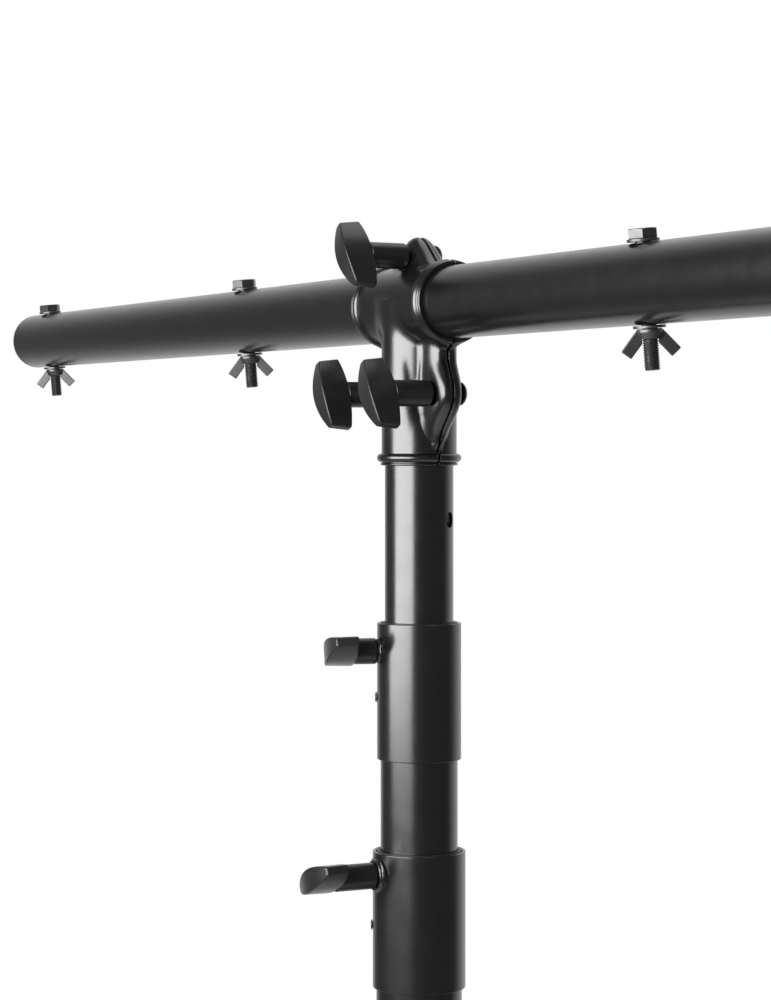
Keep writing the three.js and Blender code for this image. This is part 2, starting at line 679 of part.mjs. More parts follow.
const LOCKS = [
  {
    name: 'upper', top: UPPER_SLEEVE_TOP, inner: TOP_TUBE_RADIUS, tube: SECOND_TUBE_RADIUS,
    knobDrop: UPPER_KNOB_DROP, azimuth: UPPER_KNOB_AZIMUTH, turn: UPPER_KNOB_TURN,
    boss: UPPER_BOSS_LENGTH, bossRadius: UPPER_BOSS_RADIUS, hub: SHORT_HUB_LENGTH,
  },
  {
    name: 'lower', top: LOWER_SLEEVE_TOP, inner: SECOND_TUBE_RADIUS, tube: BASE_TUBE_RADIUS,
    knobDrop: LOWER_KNOB_DROP, azimuth: LOWER_KNOB_AZIMUTH, turn: LOWER_KNOB_TURN,
    boss: LOWER_BOSS_LENGTH, bossRadius: LOWER_BOSS_RADIUS, hub: LOWER_HUB_LENGTH,
  },
];

function mastTube(radius, length) {
  return ring(radius, radius - TUBE_WALL, 0, length, TUBE_SIDES);
}

function lockHole(lock, radius, height) {
  return radial(rod(radius, 0, lock.tube + CUT * 2, SCREW_SIDES), lock.azimuth, 0, height);
}

function rivetHole(lock, height) {
  return radial(rod(RIVET_RADIUS + SEAT_GAP, 0, lock.tube + CUT * 2, SCREW_SIDES), RIVET_AZIMUTH, 0, height);
}

// A tube that carries a lock sleeve on its head, from its lower end at zero
function lockedTube(lock, length) {
  const top = length + LINER_SEAT;
  return mastTube(lock.tube, length)
    .subtract(lockHole(lock, LOCK_HOLE_RADIUS, top - lock.knobDrop))
    .subtract(rivetHole(lock, top - RIVET_DROP));
}

// A sleeve from its top at zero, with the nut that is welded on it
function lockSleeve(lock) {
  const inner = lock.tube + SEAT_GAP;
  const outer = inner + SLEEVE_WALL;
  const sleeve = edgedRing(outer, inner, -SLEEVE_LENGTH, 0, SLEEVE_EDGE, TUBE_SIDES);
  const boss = edgedRod(lock.bossRadius, 0, outer + lock.boss, SLEEVE_EDGE, KNOB_SIDES);
  const seat = rod(inner, -lock.knobDrop - lock.bossRadius - CUT, -lock.knobDrop + lock.bossRadius + CUT, TUBE_SIDES);
  const welded = radial(boss, lock.azimuth, 0, -lock.knobDrop).subtract(seat);
  const bore = radial(rod(LOCK_HOLE_RADIUS, 0, outer + lock.boss + CUT, SCREW_SIDES), lock.azimuth, 0, -lock.knobDrop);
  return sleeve.add(welded).subtract(bore).subtract(rivetHole(lock, -RIVET_DROP));
}

// A plastic bush on the outer tube's end, inside the sleeve, that the inner tube slides in
function linerBush(lock) {
  return ring(lock.tube, lock.inner + SEAT_GAP, SEAT_GAP - LINER_SEAT, LINER_PROUD, TUBE_SIDES);
}

function pressureShoe(lock) {
  const face = lock.inner + SEAT_GAP;
  const disc = rod(LOCK_HOLE_RADIUS - SEAT_GAP, 0, face + SHOE_THICKNESS, SCREW_SIDES);
  const reach = LOCK_HOLE_RADIUS + CUT;
  const tube = rod(face, -reach, reach, TUBE_SIDES);
  return radial(disc, lock.azimuth, 0, 0).subtract(tube);
}

function lockScrew(lock) {
  const low = lock.inner + SHOE_THICKNESS + SEAT_GAP * 2;
  const root = lock.tube + SEAT_GAP + SLEEVE_WALL + lock.boss + SEAT_GAP;
  return radial(rod(STUD_RADIUS, low, root + lock.hub + STUD_IN_HEAD, SCREW_SIDES), lock.azimuth, 0, 0);
}

function lockKnob(lock) {
  const root = lock.tube + SEAT_GAP + SLEEVE_WALL + lock.boss + SEAT_GAP;
  return radial(moved(knob(lock.hub), 0, 0, root), lock.azimuth, lock.turn, 0);
}

// A blind rivet through the sleeve and the tube
function sleeveRivet(lock) {
  const outer = lock.tube + SEAT_GAP + SLEEVE_WALL + SEAT_GAP;
  const head = turned([
    [0, outer], [RIVET_HEAD_RADIUS, outer], [RIVET_HEAD_RADIUS * 0.7, outer + RIVET_HEAD_HEIGHT * 0.8],
    [0, outer + RIVET_HEAD_HEIGHT],
  ], SCREW_SIDES);
  const shank = rod(RIVET_RADIUS, lock.tube - TUBE_WALL + SEAT_GAP, outer + RIVET_HEAD_HEIGHT / 2, SCREW_SIDES);
  return radial(head.add(shank), RIVET_AZIMUTH, 0, 0);
}

// A plastic bush pressed in a sliding tube's lower end, with a flange that guides it
function guideBush(tubeRadius) {
  const spigot = tubeRadius - TUBE_WALL - SEAT_GAP;
  const flange = tubeRadius + STAGE_GAP - SEAT_GAP;
  const bore = spigot - GUIDE_WALL;
  return turned([
    [bore, -GUIDE_FLANGE - SEAT_GAP], [flange, -GUIDE_FLANGE - SEAT_GAP], [flange, -SEAT_GAP],
    [spigot, -SEAT_GAP], [spigot, GUIDE_SPIGOT], [bore, GUIDE_SPIGOT], [bore, -GUIDE_FLANGE - SEAT_GAP],
  ], TUBE_SIDES);
}

function addMast(parent) {
  const crossHole = rod(CROSS_HOLE_RADIUS, -TOP_TUBE_RADIUS - CUT, TOP_TUBE_RADIUS + CUT, SCREW_SIDES);
  const holeHeight = BAR_HEIGHT - CROSS_HOLE_DROP - TOP_TUBE_BOTTOM;
  const topTube = mastTube(TOP_TUBE_RADIUS, TOP_TUBE_LENGTH)
    .subtract(radial(crossHole, CROSS_HOLE_AZIMUTH, 0, holeHeight));
  const [upper, lower] = LOCKS;
  addPiece(parent, 'top_tube', topTube, paint).position.z = TOP_TUBE_BOTTOM;
  addPiece(parent, 'top_tube_guide', guideBush(TOP_TUBE_RADIUS), nylon).position.z = TOP_TUBE_BOTTOM;
  addPiece(parent, 'second_tube', lockedTube(upper, SECOND_TUBE_LENGTH), paint).position.z = SECOND_TUBE_BOTTOM;
  addPiece(parent, 'second_tube_guide', guideBush(SECOND_TUBE_RADIUS), nylon).position.z = SECOND_TUBE_BOTTOM;
  const baseTube = lockedTube(lower, BASE_TUBE_TOP - BASE_TUBE_BOTTOM);
  addPiece(parent, 'base_tube', baseTube, paint).position.z = BASE_TUBE_BOTTOM;
  for (const lock of LOCKS) {
    const knobHeight = lock.top - lock.knobDrop;
    addPiece(parent, `${lock.name}_lock_sleeve`, lockSleeve(lock), paint).position.z = lock.top;
    addPiece(parent, `${lock.name}_liner_bush`, linerBush(lock), nylon).position.z = lock.top;
    addPiece(parent, `${lock.name}_sleeve_rivet`, sleeveRivet(lock), zinc).position.z = lock.top - RIVET_DROP;
    addPiece(parent, `${lock.name}_pressure_shoe`, pressureShoe(lock), nylon).position.z = knobHeight;
    addPiece(parent, `${lock.name}_lock_screw`, lockScrew(lock), zinc).position.z = knobHeight;
    addPiece(parent, `${lock.name}_lock_knob`, lockKnob(lock), plastic).position.z = knobHeight;
  }
}

// Tripod

const COLLAR_BORE = BASE_TUBE_RADIUS + COLLAR_RUN_GAP;
const COLLAR_RADIUS = COLLAR_BORE + COLLAR_WALL;
const HUB_BORE = BASE_TUBE_RADIUS + SEAT_GAP;
const BASE_HUB_RADIUS = HUB_BORE + HUB_WALL;
const BRACE_INNER = LEG_WIDTH / 2 + BRACE_SIDE_GAP;
const legAzimuth = (i) => i * 2 * Math.PI / LEG_COUNT;

// A flat bar with round ends in the XZ plane, from one pivot to another along +X of its own
function link(length, halfWidth, yLow, yHigh) {
  const shape = new THREE.Shape();
  shape.absarc(0, 0, halfWidth, Math.PI / 2, 3 * Math.PI / 2, false);
  shape.absarc(length, 0, halfWidth, -Math.PI / 2, Math.PI / 2, false);
  const flat = extruded(shape, -yHigh, -yLow);
  return placed(flat, new THREE.Matrix4().makeRotationX(Math.PI / 2));
}

// A flat tongue with one round end in the XZ plane, along +X from zero to its pivot
function tongue(length, halfWidth, yLow, yHigh) {
  const shape = new THREE.Shape();
  shape.moveTo(0, halfWidth);
  shape.lineTo(0, -halfWidth);
  shape.absarc(length, 0, halfWidth, -Math.PI / 2, Math.PI / 2, false);
  return placed(extruded(shape, -yHigh, -yLow), new THREE.Matrix4().makeRotationX(Math.PI / 2));
}

// A rod along Y
function acrossRod(radius, yLow, yHigh, sides) {
  return placed(rod(radius, -yHigh, -yLow, sides), new THREE.Matrix4().makeRotationX(Math.PI / 2));
}

// Leg along +X from its pivot, hollow and open at the foot
function leg() {
  const half = LEG_DEPTH / 2;
  const shape = new THREE.Shape();
  shape.absarc(0, 0, half, Math.PI / 2, 3 * Math.PI / 2, false);
  shape.lineTo(LEG_LENGTH, -half);
  shape.lineTo(LEG_LENGTH, half);
  const outer = placed(extruded(shape, -LEG_WIDTH / 2, LEG_WIDTH / 2), new THREE.Matrix4().makeRotationX(Math.PI / 2));
  const hollow = new THREE.BoxGeometry(LEG_LENGTH, LEG_WIDTH - 2 * LEG_WALL, LEG_DEPTH - 2 * LEG_WALL);
  hollow.translate(LEG_LENGTH / 2 + half + LEG_WALL, 0, 0);
  const pinHole = acrossRod(PIN_RADIUS + SEAT_GAP, -LEG_WIDTH, LEG_WIDTH, SCREW_SIDES);
  const braceHole = moved(pinHole, BRACE_LENGTH, 0, 0);
  return outer.subtract(solid(hollow)).subtract(pinHole).subtract(braceHole);
}

// Rubber foot: a boot round the leg's end and a plug inside it, cut level with the floor
function foot() {
  const half = LEG_DEPTH / 2 + FOOT_WALL;
  const end = LEG_LENGTH + FOOT_PROUD;
  const shape = new THREE.Shape();
  shape.moveTo(LEG_LENGTH - FOOT_GRIP, -half);
  shape.lineTo(end, -half);
  shape.lineTo(end, half - FOOT_ROUND);
  shape.absarc(end - FOOT_ROUND, half - FOOT_ROUND, FOOT_ROUND, 0, Math.PI / 2, false);
  shape.lineTo(LEG_LENGTH - FOOT_GRIP, half);
  const width = LEG_WIDTH / 2 + FOOT_WALL;
  const boot = placed(extruded(shape, -width, width), new THREE.Matrix4().makeRotationX(Math.PI / 2));
  const reach = FOOT_GRIP + CUT;
  const socket = new THREE.BoxGeometry(reach, LEG_WIDTH + 2 * SEAT_GAP, LEG_DEPTH + 2 * SEAT_GAP);
  socket.translate(LEG_LENGTH + SEAT_GAP - reach / 2, 0, 0);
  const inside = 2 * (LEG_WALL + SEAT_GAP);
  const plug = new THREE.BoxGeometry(LEG_PLUG + CUT, LEG_WIDTH - inside, LEG_DEPTH - inside);
  plug.translate(LEG_LENGTH + CUT - (LEG_PLUG + CUT) / 2, 0, 0);
  return boot.subtract(solid(socket)).add(solid(plug));
}

// A brace: two flat bars astride the leg, held together by the rivet that turns in the hub's lug
function brace() {
  const outer = BRACE_INNER + BRACE_BAR;
  const button = outer + BRACE_BUTTON_HEIGHT;
  let body = acrossRod(PIN_RADIUS, -outer, outer, SCREW_SIDES);
  for (const side of [-1, 1]) {
    const [low, high] = side > 0 ? [BRACE_INNER, outer] : [-outer, -BRACE_INNER];
    const [from, to] = side > 0 ? [BRACE_INNER + BRACE_BAR / 2, button] : [-button, -BRACE_INNER - BRACE_BAR / 2];
    body = body.add(link(BRACE_LENGTH, BRACE_WIDTH / 2, low, high));
    body = body.add(acrossRod(BRACE_BUTTON_RADIUS, from, to, SCREW_SIDES));
    body = body.add(moved(acrossRod(BRACE_BUTTON_RADIUS, from, to, SCREW_SIDES), BRACE_LENGTH, 0, 0));
  }
  return body;
}

function pivotPin() {
  const side = LEG_WIDTH / 2 + COLLAR_EAR_GAP + COLLAR_EAR + SEAT_GAP;
  const head = side + PIN_HEAD_HEIGHT;
  return acrossRod(PIN_RADIUS, -side - PIN_HEAD_HEIGHT / 2, side + PIN_HEAD_HEIGHT / 2, SCREW_SIDES)
    .add(acrossRod(PIN_HEAD_RADIUS, side, head, SCREW_SIDES))
    .add(acrossRod(PIN_HEAD_RADIUS, -head, -side, SCREW_SIDES));
}

// Leg collar about its pivots' height: a ring with three pairs of ears and the boss of its knob
function legCollar() {
  let collar = edgedRing(COLLAR_RADIUS, COLLAR_BORE, -COLLAR_BELOW, COLLAR_ABOVE, HUB_EDGE, TUBE_SIDES);
  const earLow = LEG_WIDTH / 2 + COLLAR_EAR_GAP;
  for (let i = 0; i < LEG_COUNT; i += 1) {
    for (const [low, high] of [[earLow, earLow + COLLAR_EAR], [-earLow - COLLAR_EAR, -earLow]]) {
      const start = COLLAR_BORE + COLLAR_WALL / 2;
      const ear = moved(tongue(PIVOT_RADIUS - start, COLLAR_EAR_RADIUS, low, high), start, 0, 0);
      collar = collar.add(placed(ear, new THREE.Matrix4().makeRotationZ(legAzimuth(i))));
    }
    const hole = moved(acrossRod(PIN_RADIUS + SEAT_GAP, -LEG_WIDTH, LEG_WIDTH, SCREW_SIDES), PIVOT_RADIUS, 0, 0);
    collar = collar.subtract(placed(hole, new THREE.Matrix4().makeRotationZ(legAzimuth(i))));
  }
  const end = COLLAR_RADIUS + LOWER_BOSS_LENGTH;
  const boss = radial(edgedRod(LOWER_BOSS_RADIUS, 0, end, SLEEVE_EDGE, KNOB_SIDES), COLLAR_KNOB_AZIMUTH, 0, 0);
  const bore = radial(rod(STUD_RADIUS + SEAT_GAP, 0, end + CUT, SCREW_SIDES), COLLAR_KNOB_AZIMUTH, 0, 0);
  const tube = rod(COLLAR_BORE, -COLLAR_BELOW - CUT, COLLAR_ABOVE + CUT, TUBE_SIDES);
  return collar.add(boss).subtract(tube).subtract(bore);
}

// Base hub from its floor's underside: a cup on the base tube's end, with a lug for each brace
function baseHub() {
  const shell = edgedRod(BASE_HUB_RADIUS, 0, HUB_HEIGHT, HUB_EDGE, TUBE_SIDES);
  const lugHalf = BRACE_INNER - SEAT_GAP;
  const pivot = HUB_PIVOT_HEIGHT - (BASE_TUBE_BOTTOM - SEAT_GAP - HUB_FLOOR);
  let hub = shell;
  for (let i = 0; i < LEG_COUNT; i += 1) {
    const turn = new THREE.Matrix4().makeRotationZ(legAzimuth(i));
    const start = HUB_BORE + HUB_WALL / 2;
    const lug = moved(tongue(PIVOT_RADIUS - start, LUG_RADIUS, -lugHalf, lugHalf), start, 0, pivot);
    const hole = moved(acrossRod(PIN_RADIUS + SEAT_GAP, -LEG_WIDTH, LEG_WIDTH, SCREW_SIDES), PIVOT_RADIUS, 0, pivot);
    hub = hub.add(placed(lug, turn)).subtract(placed(hole, turn));
  }
  return hub.subtract(rod(HUB_BORE, HUB_FLOOR, HUB_HEIGHT + CUT, TUBE_SIDES));
}

// From a leg's or a brace's own frame, with its pivot at zero, to its place beside the mast
function tilted(body, slope, height) {
  return moved(placed(body, new THREE.Matrix4().makeRotationY(slope)), PIVOT_RADIUS, 0, height);
}

function addTripod(parent) {
  addPiece(parent, 'leg_collar', legCollar(), plastic).position.z = COLLAR_PIVOT_HEIGHT;
  const root = COLLAR_RADIUS + LOWER_BOSS_LENGTH + SEAT_GAP;
  const tip = BASE_TUBE_RADIUS + SEAT_GAP;
  const screw = rod(STUD_RADIUS, tip, root + HUB_LENGTH + STUD_IN_HEAD, SCREW_SIDES);
  const turn = COLLAR_KNOB_TURN;
  const collarScrew = radial(screw, COLLAR_KNOB_AZIMUTH, turn, COLLAR_PIVOT_HEIGHT);
  const collarKnob = radial(moved(knob(HUB_LENGTH), 0, 0, root), COLLAR_KNOB_AZIMUTH, turn, COLLAR_PIVOT_HEIGHT);
  addPiece(parent, 'collar_screw', collarScrew, zinc);
  addPiece(parent, 'collar_knob', collarKnob, plastic);
  addPiece(parent, 'base_hub', baseHub(), plastic).position.z = BASE_TUBE_BOTTOM - SEAT_GAP - HUB_FLOOR;

  const legSlope = Math.PI / 2 - LEG_SPREAD;
  for (let i = 0; i < LEG_COUNT; i += 1) {
    const number = i + 1;
    const side = new THREE.Group();
    side.rotation.z = legAzimuth(i);
    parent.add(side);
    addPiece(side, `leg_${number}`, tilted(leg(), legSlope, COLLAR_PIVOT_HEIGHT), paint);
    const boot = tilted(foot(), legSlope, COLLAR_PIVOT_HEIGHT).trimByPlane([0, 0, 1], 0);
    addPiece(side, `foot_${number}`, boot, rubber);
    addPiece(side, `brace_${number}`, tilted(brace(), -legSlope, HUB_PIVOT_HEIGHT), paint);
    addPiece(side, `leg_pin_${number}`, moved(pivotPin(), PIVOT_RADIUS, 0, COLLAR_PIVOT_HEIGHT), zinc);
  }
}

const stand = new THREE.Group();
addCrossbar(stand);
addClamp(stand);
addMast(stand);
addTripod(stand);

export default stand;
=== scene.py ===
"""The fine surface of a lighting T bar stand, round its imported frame.

Every piece is built in the frame's own axes: +Z up, the crossbar along X, the clamp's knobs to -Y.
Outlines are written in millimetres, and mesh_piece turns them into metres.
"""
import json
import math

import bmesh
import bpy
import numpy as np
from mathutils import Matrix, Vector


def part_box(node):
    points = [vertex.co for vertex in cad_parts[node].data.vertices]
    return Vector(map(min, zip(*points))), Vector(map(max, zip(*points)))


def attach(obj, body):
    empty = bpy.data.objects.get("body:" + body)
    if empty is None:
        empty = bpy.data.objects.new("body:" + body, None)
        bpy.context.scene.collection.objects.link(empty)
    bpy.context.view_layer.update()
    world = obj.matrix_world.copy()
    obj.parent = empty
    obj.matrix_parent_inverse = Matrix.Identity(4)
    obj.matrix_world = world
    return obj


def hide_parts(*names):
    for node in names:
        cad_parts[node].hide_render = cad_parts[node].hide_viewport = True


MM = 0.001
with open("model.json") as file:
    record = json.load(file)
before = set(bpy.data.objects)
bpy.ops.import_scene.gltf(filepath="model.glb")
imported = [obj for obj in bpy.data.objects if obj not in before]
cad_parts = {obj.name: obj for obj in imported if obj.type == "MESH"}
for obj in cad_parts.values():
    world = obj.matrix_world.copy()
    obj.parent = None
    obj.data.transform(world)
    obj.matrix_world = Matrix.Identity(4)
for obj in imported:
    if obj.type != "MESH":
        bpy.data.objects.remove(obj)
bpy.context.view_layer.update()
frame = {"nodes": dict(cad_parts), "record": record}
record = frame["record"]
BODY_OF = {node: body for body, nodes in record["behaviour"]["bodies"].items() for node in nodes}
SLOT_OF = {part["node"]: part["material_slot"] for part in record["subparts"]}


def node_box(node):
    """A CAD node's lowest and highest corners, in millimetres."""
    low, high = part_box(node)
    return low / MM, high / MM


# Shared sizes, read from the frame where it has them
SEAT_GAP = 0.3
OVERRUN = 4.0
TUBE_WALL = 2.0
TUBE_EDGE = 0.3
TURN_SIDES = 128
SMALL_SIDES = 64
SCREW_SIDES = 32
SMOOTH_ANGLE = math.radians(32)
EDGE_ANGLE = 50
EDGE_STEPS = 3
WIDE_EDGE_STEPS = 4
FINE_EDGE_STEPS = 2
ON_AXIS = 1e-6
WELD_METRES = 1e-7
CORNER_SHARE = 0.45

TOP_TUBE_LOW, TOP_TUBE_HIGH = node_box("top_tube")
BAR_LOW, BAR_HIGH = node_box("crossbar_tube")
TOP_RADIUS = TOP_TUBE_HIGH.x
SECOND_RADIUS = node_box("second_tube")[1].x
BASE_RADIUS = node_box("base_tube")[1].x
BAR_AXIS = (BAR_LOW.z + BAR_HIGH.z) / 2
BAR_HALF = BAR_HIGH.x
BAR_RADIUS = 25.0
BAR_ROLL = math.radians(5)


# Mesh making

def added(name, data):
    """A new object in the scene, from its mesh, lamp or camera."""
    piece = bpy.data.objects.new(name, data)
    bpy.context.scene.collection.objects.link(piece)
    return piece


def mesh_piece(name, vertices, faces):
    """A mesh object from vertices in millimetres, with its faces pointing out."""
    mesh = bpy.data.meshes.new(name)
    mesh.from_pydata([tuple(v) for v in np.asarray(vertices, float) * MM], [], faces)
    work = bmesh.new()
    work.from_mesh(mesh)
    bmesh.ops.remove_doubles(work, verts=work.verts, dist=WELD_METRES)
    bmesh.ops.recalc_face_normals(work, faces=work.faces)
    work.to_mesh(mesh)
    work.free()
    return added(name, mesh)


def softened(points, radius):
    """A closed outline with its corners rounded, but not those on the axis."""
    result = []
    count = len(points)
    for i, point in enumerate(points):
        here = np.array(point, float)
        if abs(here[0]) < ON_AXIS:
            result.append(tuple(here))
            continue
        back = np.array(points[i - 1], float) - here
        ahead = np.array(points[(i + 1) % count], float) - here
        reach = min(radius, CORNER_SHARE * np.linalg.norm(back), CORNER_SHARE * np.linalg.norm(ahead))
        start = here + back / np.linalg.norm(back) * reach
        end = here + ahead / np.linalg.norm(ahead) * reach
        for share in np.linspace(0, 1, EDGE_STEPS + 1):
            bend = (1 - share) ** 2 * start + 2 * share * (1 - share) * here + share ** 2 * end
            result.append(tuple(bend))
    return result


def stacked_faces(rings, count):
    """Faces of a closed skin over rings that have the same count of vertices."""
    faces = [tuple(reversed(range(count)))]
    for base in range(0, (rings - 1) * count, count):
        for i in range(count):
            after = (i + 1) % count
            faces.append((base + i, base + after, base + count + after, base + count + i))
    last = (rings - 1) * count
    faces.append(tuple(range(last, last + count)))
    return faces


def turned(name, outline, sides=TURN_SIDES):
    """A closed outline of radius and height, turned about Z."""
    vertices = []
    rings = []
    for radius, height in outline:
        if radius < ON_AXIS:
            rings.append([len(vertices)])
            vertices.append((0, 0, height))
            continue
        rings.append(list(range(len(vertices), len(vertices) + sides)))
        for side in range(sides):
            angle = 2 * math.pi * side / sides
            vertices.append((radius * math.cos(angle), radius * math.sin(angle), height))
    faces = []
    for i, ring in enumerate(rings):
        following = rings[(i + 1) % len(rings)]
        if len(ring) == 1 and len(following) == 1:
            continue
        for side in range(sides):
            after = (side + 1) % sides
            if len(ring) == 1:
                faces.append((ring[0], following[after], following[side]))
            elif len(following) == 1:
                faces.append((ring[side], ring[after], following[0]))
            else:
                faces.append((ring[side], ring[after], following[after], following[side]))
    return mesh_piece(name, vertices, faces)


def tube(name, outer, inner, stations, edge=TUBE_EDGE):
    """A tube with broken rims, with a ring of vertices at each station of its length."""
    low, high = stations[0], stations[-1]
    outline = [(inner, low + edge), (inner + edge, low), (outer - edge, low), (outer, low + edge)]
    outline += [(outer, height) for height in stations[1:-1]]
    outline += [(outer, high - edge), (outer - edge, high), (inner + edge, high), (inner, high - edge)]
    outline += [(inner, height) for height in reversed(stations[1:-1])]
    return turned(name, outline)


def rod(name, radius, low, high, sides=SMALL_SIDES, edge=0.0):
    """A round bar along Z, with its two rims rounded where asked."""
    outline = [(0, low), (radius, low), (radius, high), (0, high)]
    if edge:
        outline = softened(outline, edge)
    return turned(name, outline, sides)


def extruded(name, outline, low, high):
    """A flat outline in X and Y, extruded along Z."""
    count = len(outline)
    vertices = [(x, y, low) for x, y in outline] + [(x, y, high) for x, y in outline]
    faces = [tuple(range(count)), tuple(range(count, 2 * count))]
    faces += [(i, (i + 1) % count, count + (i + 1) % count, count + i) for i in range(count)]
    return mesh_piece(name, vertices, faces)


def box(name, low, high):
    """A block between its lowest and highest corners."""
    (x0, y0, z0), (x1, y1, z1) = low, high
    return extruded(name, [(x0, y0), (x1, y0), (x1, y1), (x0, y1)], z0, z1)


def arc(centre, radius, start, end, steps):
    """Points on an arc, with its angles in radians."""
    angles = np.linspace(start, end, steps + 1)
    return [(centre[0] + radius * math.cos(a), centre[1] + radius * math.sin(a)) for a in angles]


def settle(piece):
    """Applies a piece's modifiers to its mesh."""
    graph = bpy.context.evaluated_depsgraph_get()
    finished = bpy.data.meshes.new_from_object(piece.evaluated_get(graph))
    old = piece.data
    piece.modifiers.clear()
    piece.data = finished
    bpy.data.meshes.remove(old)
    return piece


def combine(piece, other, operation):
    """Applies one boolean operation, which uses the other piece up."""
    cutter = piece.modifiers.new("combine", "BOOLEAN")
    cutter.operation = operation
    cutter.solver = "EXACT"
    cutter.object = other
    settle(piece)
    bpy.data.objects.remove(other)
    return piece


def cut(piece, other):
    return combine(piece, other, "DIFFERENCE")


def join(piece, other):
    return combine(piece, other, "UNION")


def bevelled(piece, width, segments=EDGE_STEPS, angle=EDGE_ANGLE):
    """Rounds the edges that are sharper than an angle, in degrees."""
    bevel = piece.modifiers.new("edges", "BEVEL")
    bevel.width = width * MM
    bevel.segments = segments
    bevel.limit_method = "ANGLE"
    bevel.angle_limit = math.radians(angle)
    bevel.use_clamp_overlap = True
    return settle(piece)


def moved(piece, matrix):
    """Moves a piece's vertices by a matrix whose lengths are in millimetres."""
    scaled = matrix.copy()
    scaled.translation = matrix.translation * MM
    piece.data.transform(scaled)
    return piece


def shift(x, y, z):
    return Matrix.Translation((x, y, z))


def turn(angle, axis):
    return Matrix.Rotation(angle, 4, axis)


def coat(mesh, node):
    """Gives a mesh the material of its CAD node's slot."""
    mesh.materials.clear()
    mesh.materials.append(MATERIALS[SLOT_OF[node]])


def finished(piece, node, smooth=SMOOTH_ANGLE):
    """Puts a piece in its CAD node's place: body, slot and material."""
    piece.data.polygons.foreach_set("use_smooth", [True] * len(piece.data.polygons))
    piece.data.set_sharp_from_angle(angle=smooth)
    even = piece.modifiers.new("even", "WEIGHTED_NORMAL")
    even.keep_sharp = True
    coat(piece.data, node)
    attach(piece, BODY_OF[node])
    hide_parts(node)


# Materials: each finish has its darkest and lightest grey, its least and greatest roughness, and the
# size and depth of its grain in millimetres

FINISHES = {
    "tube_paint": {"greys": (0.0035, 0.0045), "rough": (0.23, 0.27), "grain": (0.7, 0.0035), "gloss": 1.0},
    "clamp_paint": {"greys": (0.003, 0.004), "rough": (0.23, 0.27), "grain": (2.5, 0.012), "gloss": 1.0},
    "knob_plastic": {"greys": (0.0115, 0.0135), "rough": (0.27, 0.33), "grain": (0.35, 0.006)},
    "bush_nylon": {"greys": (0.012, 0.014), "rough": (0.42, 0.48), "grain": (0.5, 0.006)},
    "moulded_plastic": {"greys": (0.009, 0.011), "rough": (0.4, 0.46), "grain": (0.4, 0.008)},
    "black_zinc": {"greys": (0.10, 0.125), "rough": (0.36, 0.44), "grain": (0.6, 0.005), "metallic": 0.9},
    "foot_rubber": {"greys": (0.014, 0.018), "rough": (0.7, 0.8), "grain": (0.6, 0.02)},
}
GRAIN_DETAIL = 2.0
ROUGHNESS_PATCH = 14.0
ROUGHNESS_DETAIL = 3.0
ROUGHNESS_SPREAD = (0.3, 0.7)
TINT_PATCH = 22.0
TINT_DETAIL = 4.0
TINT_SPREAD = (0.35, 0.65)


def material(name, colour, roughness, metallic=0.0, gloss=0.5):
    made = bpy.data.materials.new(name)
    made.use_nodes = True
    shader = made.node_tree.nodes["Principled BSDF"]
    shader.inputs["Base Color"].default_value = (*colour, 1)
    shader.inputs["Roughness"].default_value = roughness
    shader.inputs["Metallic"].default_value = metallic
    shader.inputs["Specular IOR Level"].default_value = gloss
    return made, made.node_tree, shader


def noise(tree, place, size, detail):
    """A noise with features of one size, in millimetres."""
    made = tree.nodes.new("ShaderNodeTexNoise")
    made.inputs["Scale"].default_value = 1 / (size * MM)
    made.inputs["Detail"].default_value = detail
    tree.links.new(place, made.inputs["Vector"])
    return made.outputs["Fac"]


def map_range(tree, value, before, after=(0.0, 1.0)):
    """Maps a value from one pair of limits to another."""
    made = tree.nodes.new("ShaderNodeMapRange")
    for name, limit in zip(("From Min", "From Max", "To Min", "To Max"), (*before, *after)):
        made.inputs[name].default_value = limit
    tree.links.new(value, made.inputs["Value"])
    return made.outputs["Result"]


def finish_material(name, greys, rough, grain, metallic=0.0, gloss=0.5):
    """A finish with a fine bump, whose roughness and grey wander a little over its surface."""
    dark, light = ((grey,) * 3 for grey in greys)
    made, tree, shader = material(name, dark, rough[0], metallic, gloss)
    place = tree.nodes.new("ShaderNodeTexCoord").outputs["Object"]

    size, depth = grain
    bump = tree.nodes.new("ShaderNodeBump")
    bump.inputs["Strength"].default_value = 1.0
    bump.inputs["Distance"].default_value = depth * MM
    tree.links.new(noise(tree, place, size, GRAIN_DETAIL), bump.inputs["Height"])
    tree.links.new(bump.outputs["Normal"], shader.inputs["Normal"])

    patches = noise(tree, place, ROUGHNESS_PATCH, ROUGHNESS_DETAIL)
    tree.links.new(map_range(tree, patches, ROUGHNESS_SPREAD, rough), shader.inputs["Roughness"])

    ramp = tree.nodes.new("ShaderNodeValToRGB")
    for stop, position, grey in zip(ramp.color_ramp.elements, TINT_SPREAD, (dark, light)):
        stop.position = position
        stop.color = (*grey, 1)
    tree.links.new(noise(tree, place, TINT_PATCH, TINT_DETAIL), ramp.inputs["Fac"])
    tree.links.new(ramp.outputs["Color"], shader.inputs["Base Color"])
    return made


MATERIALS = {name: finish_material(name, **finish) for name, finish in FINISHES.items()}


# T knob: a bar with a lens outline across a round hub, along Z with its hub's root at zero

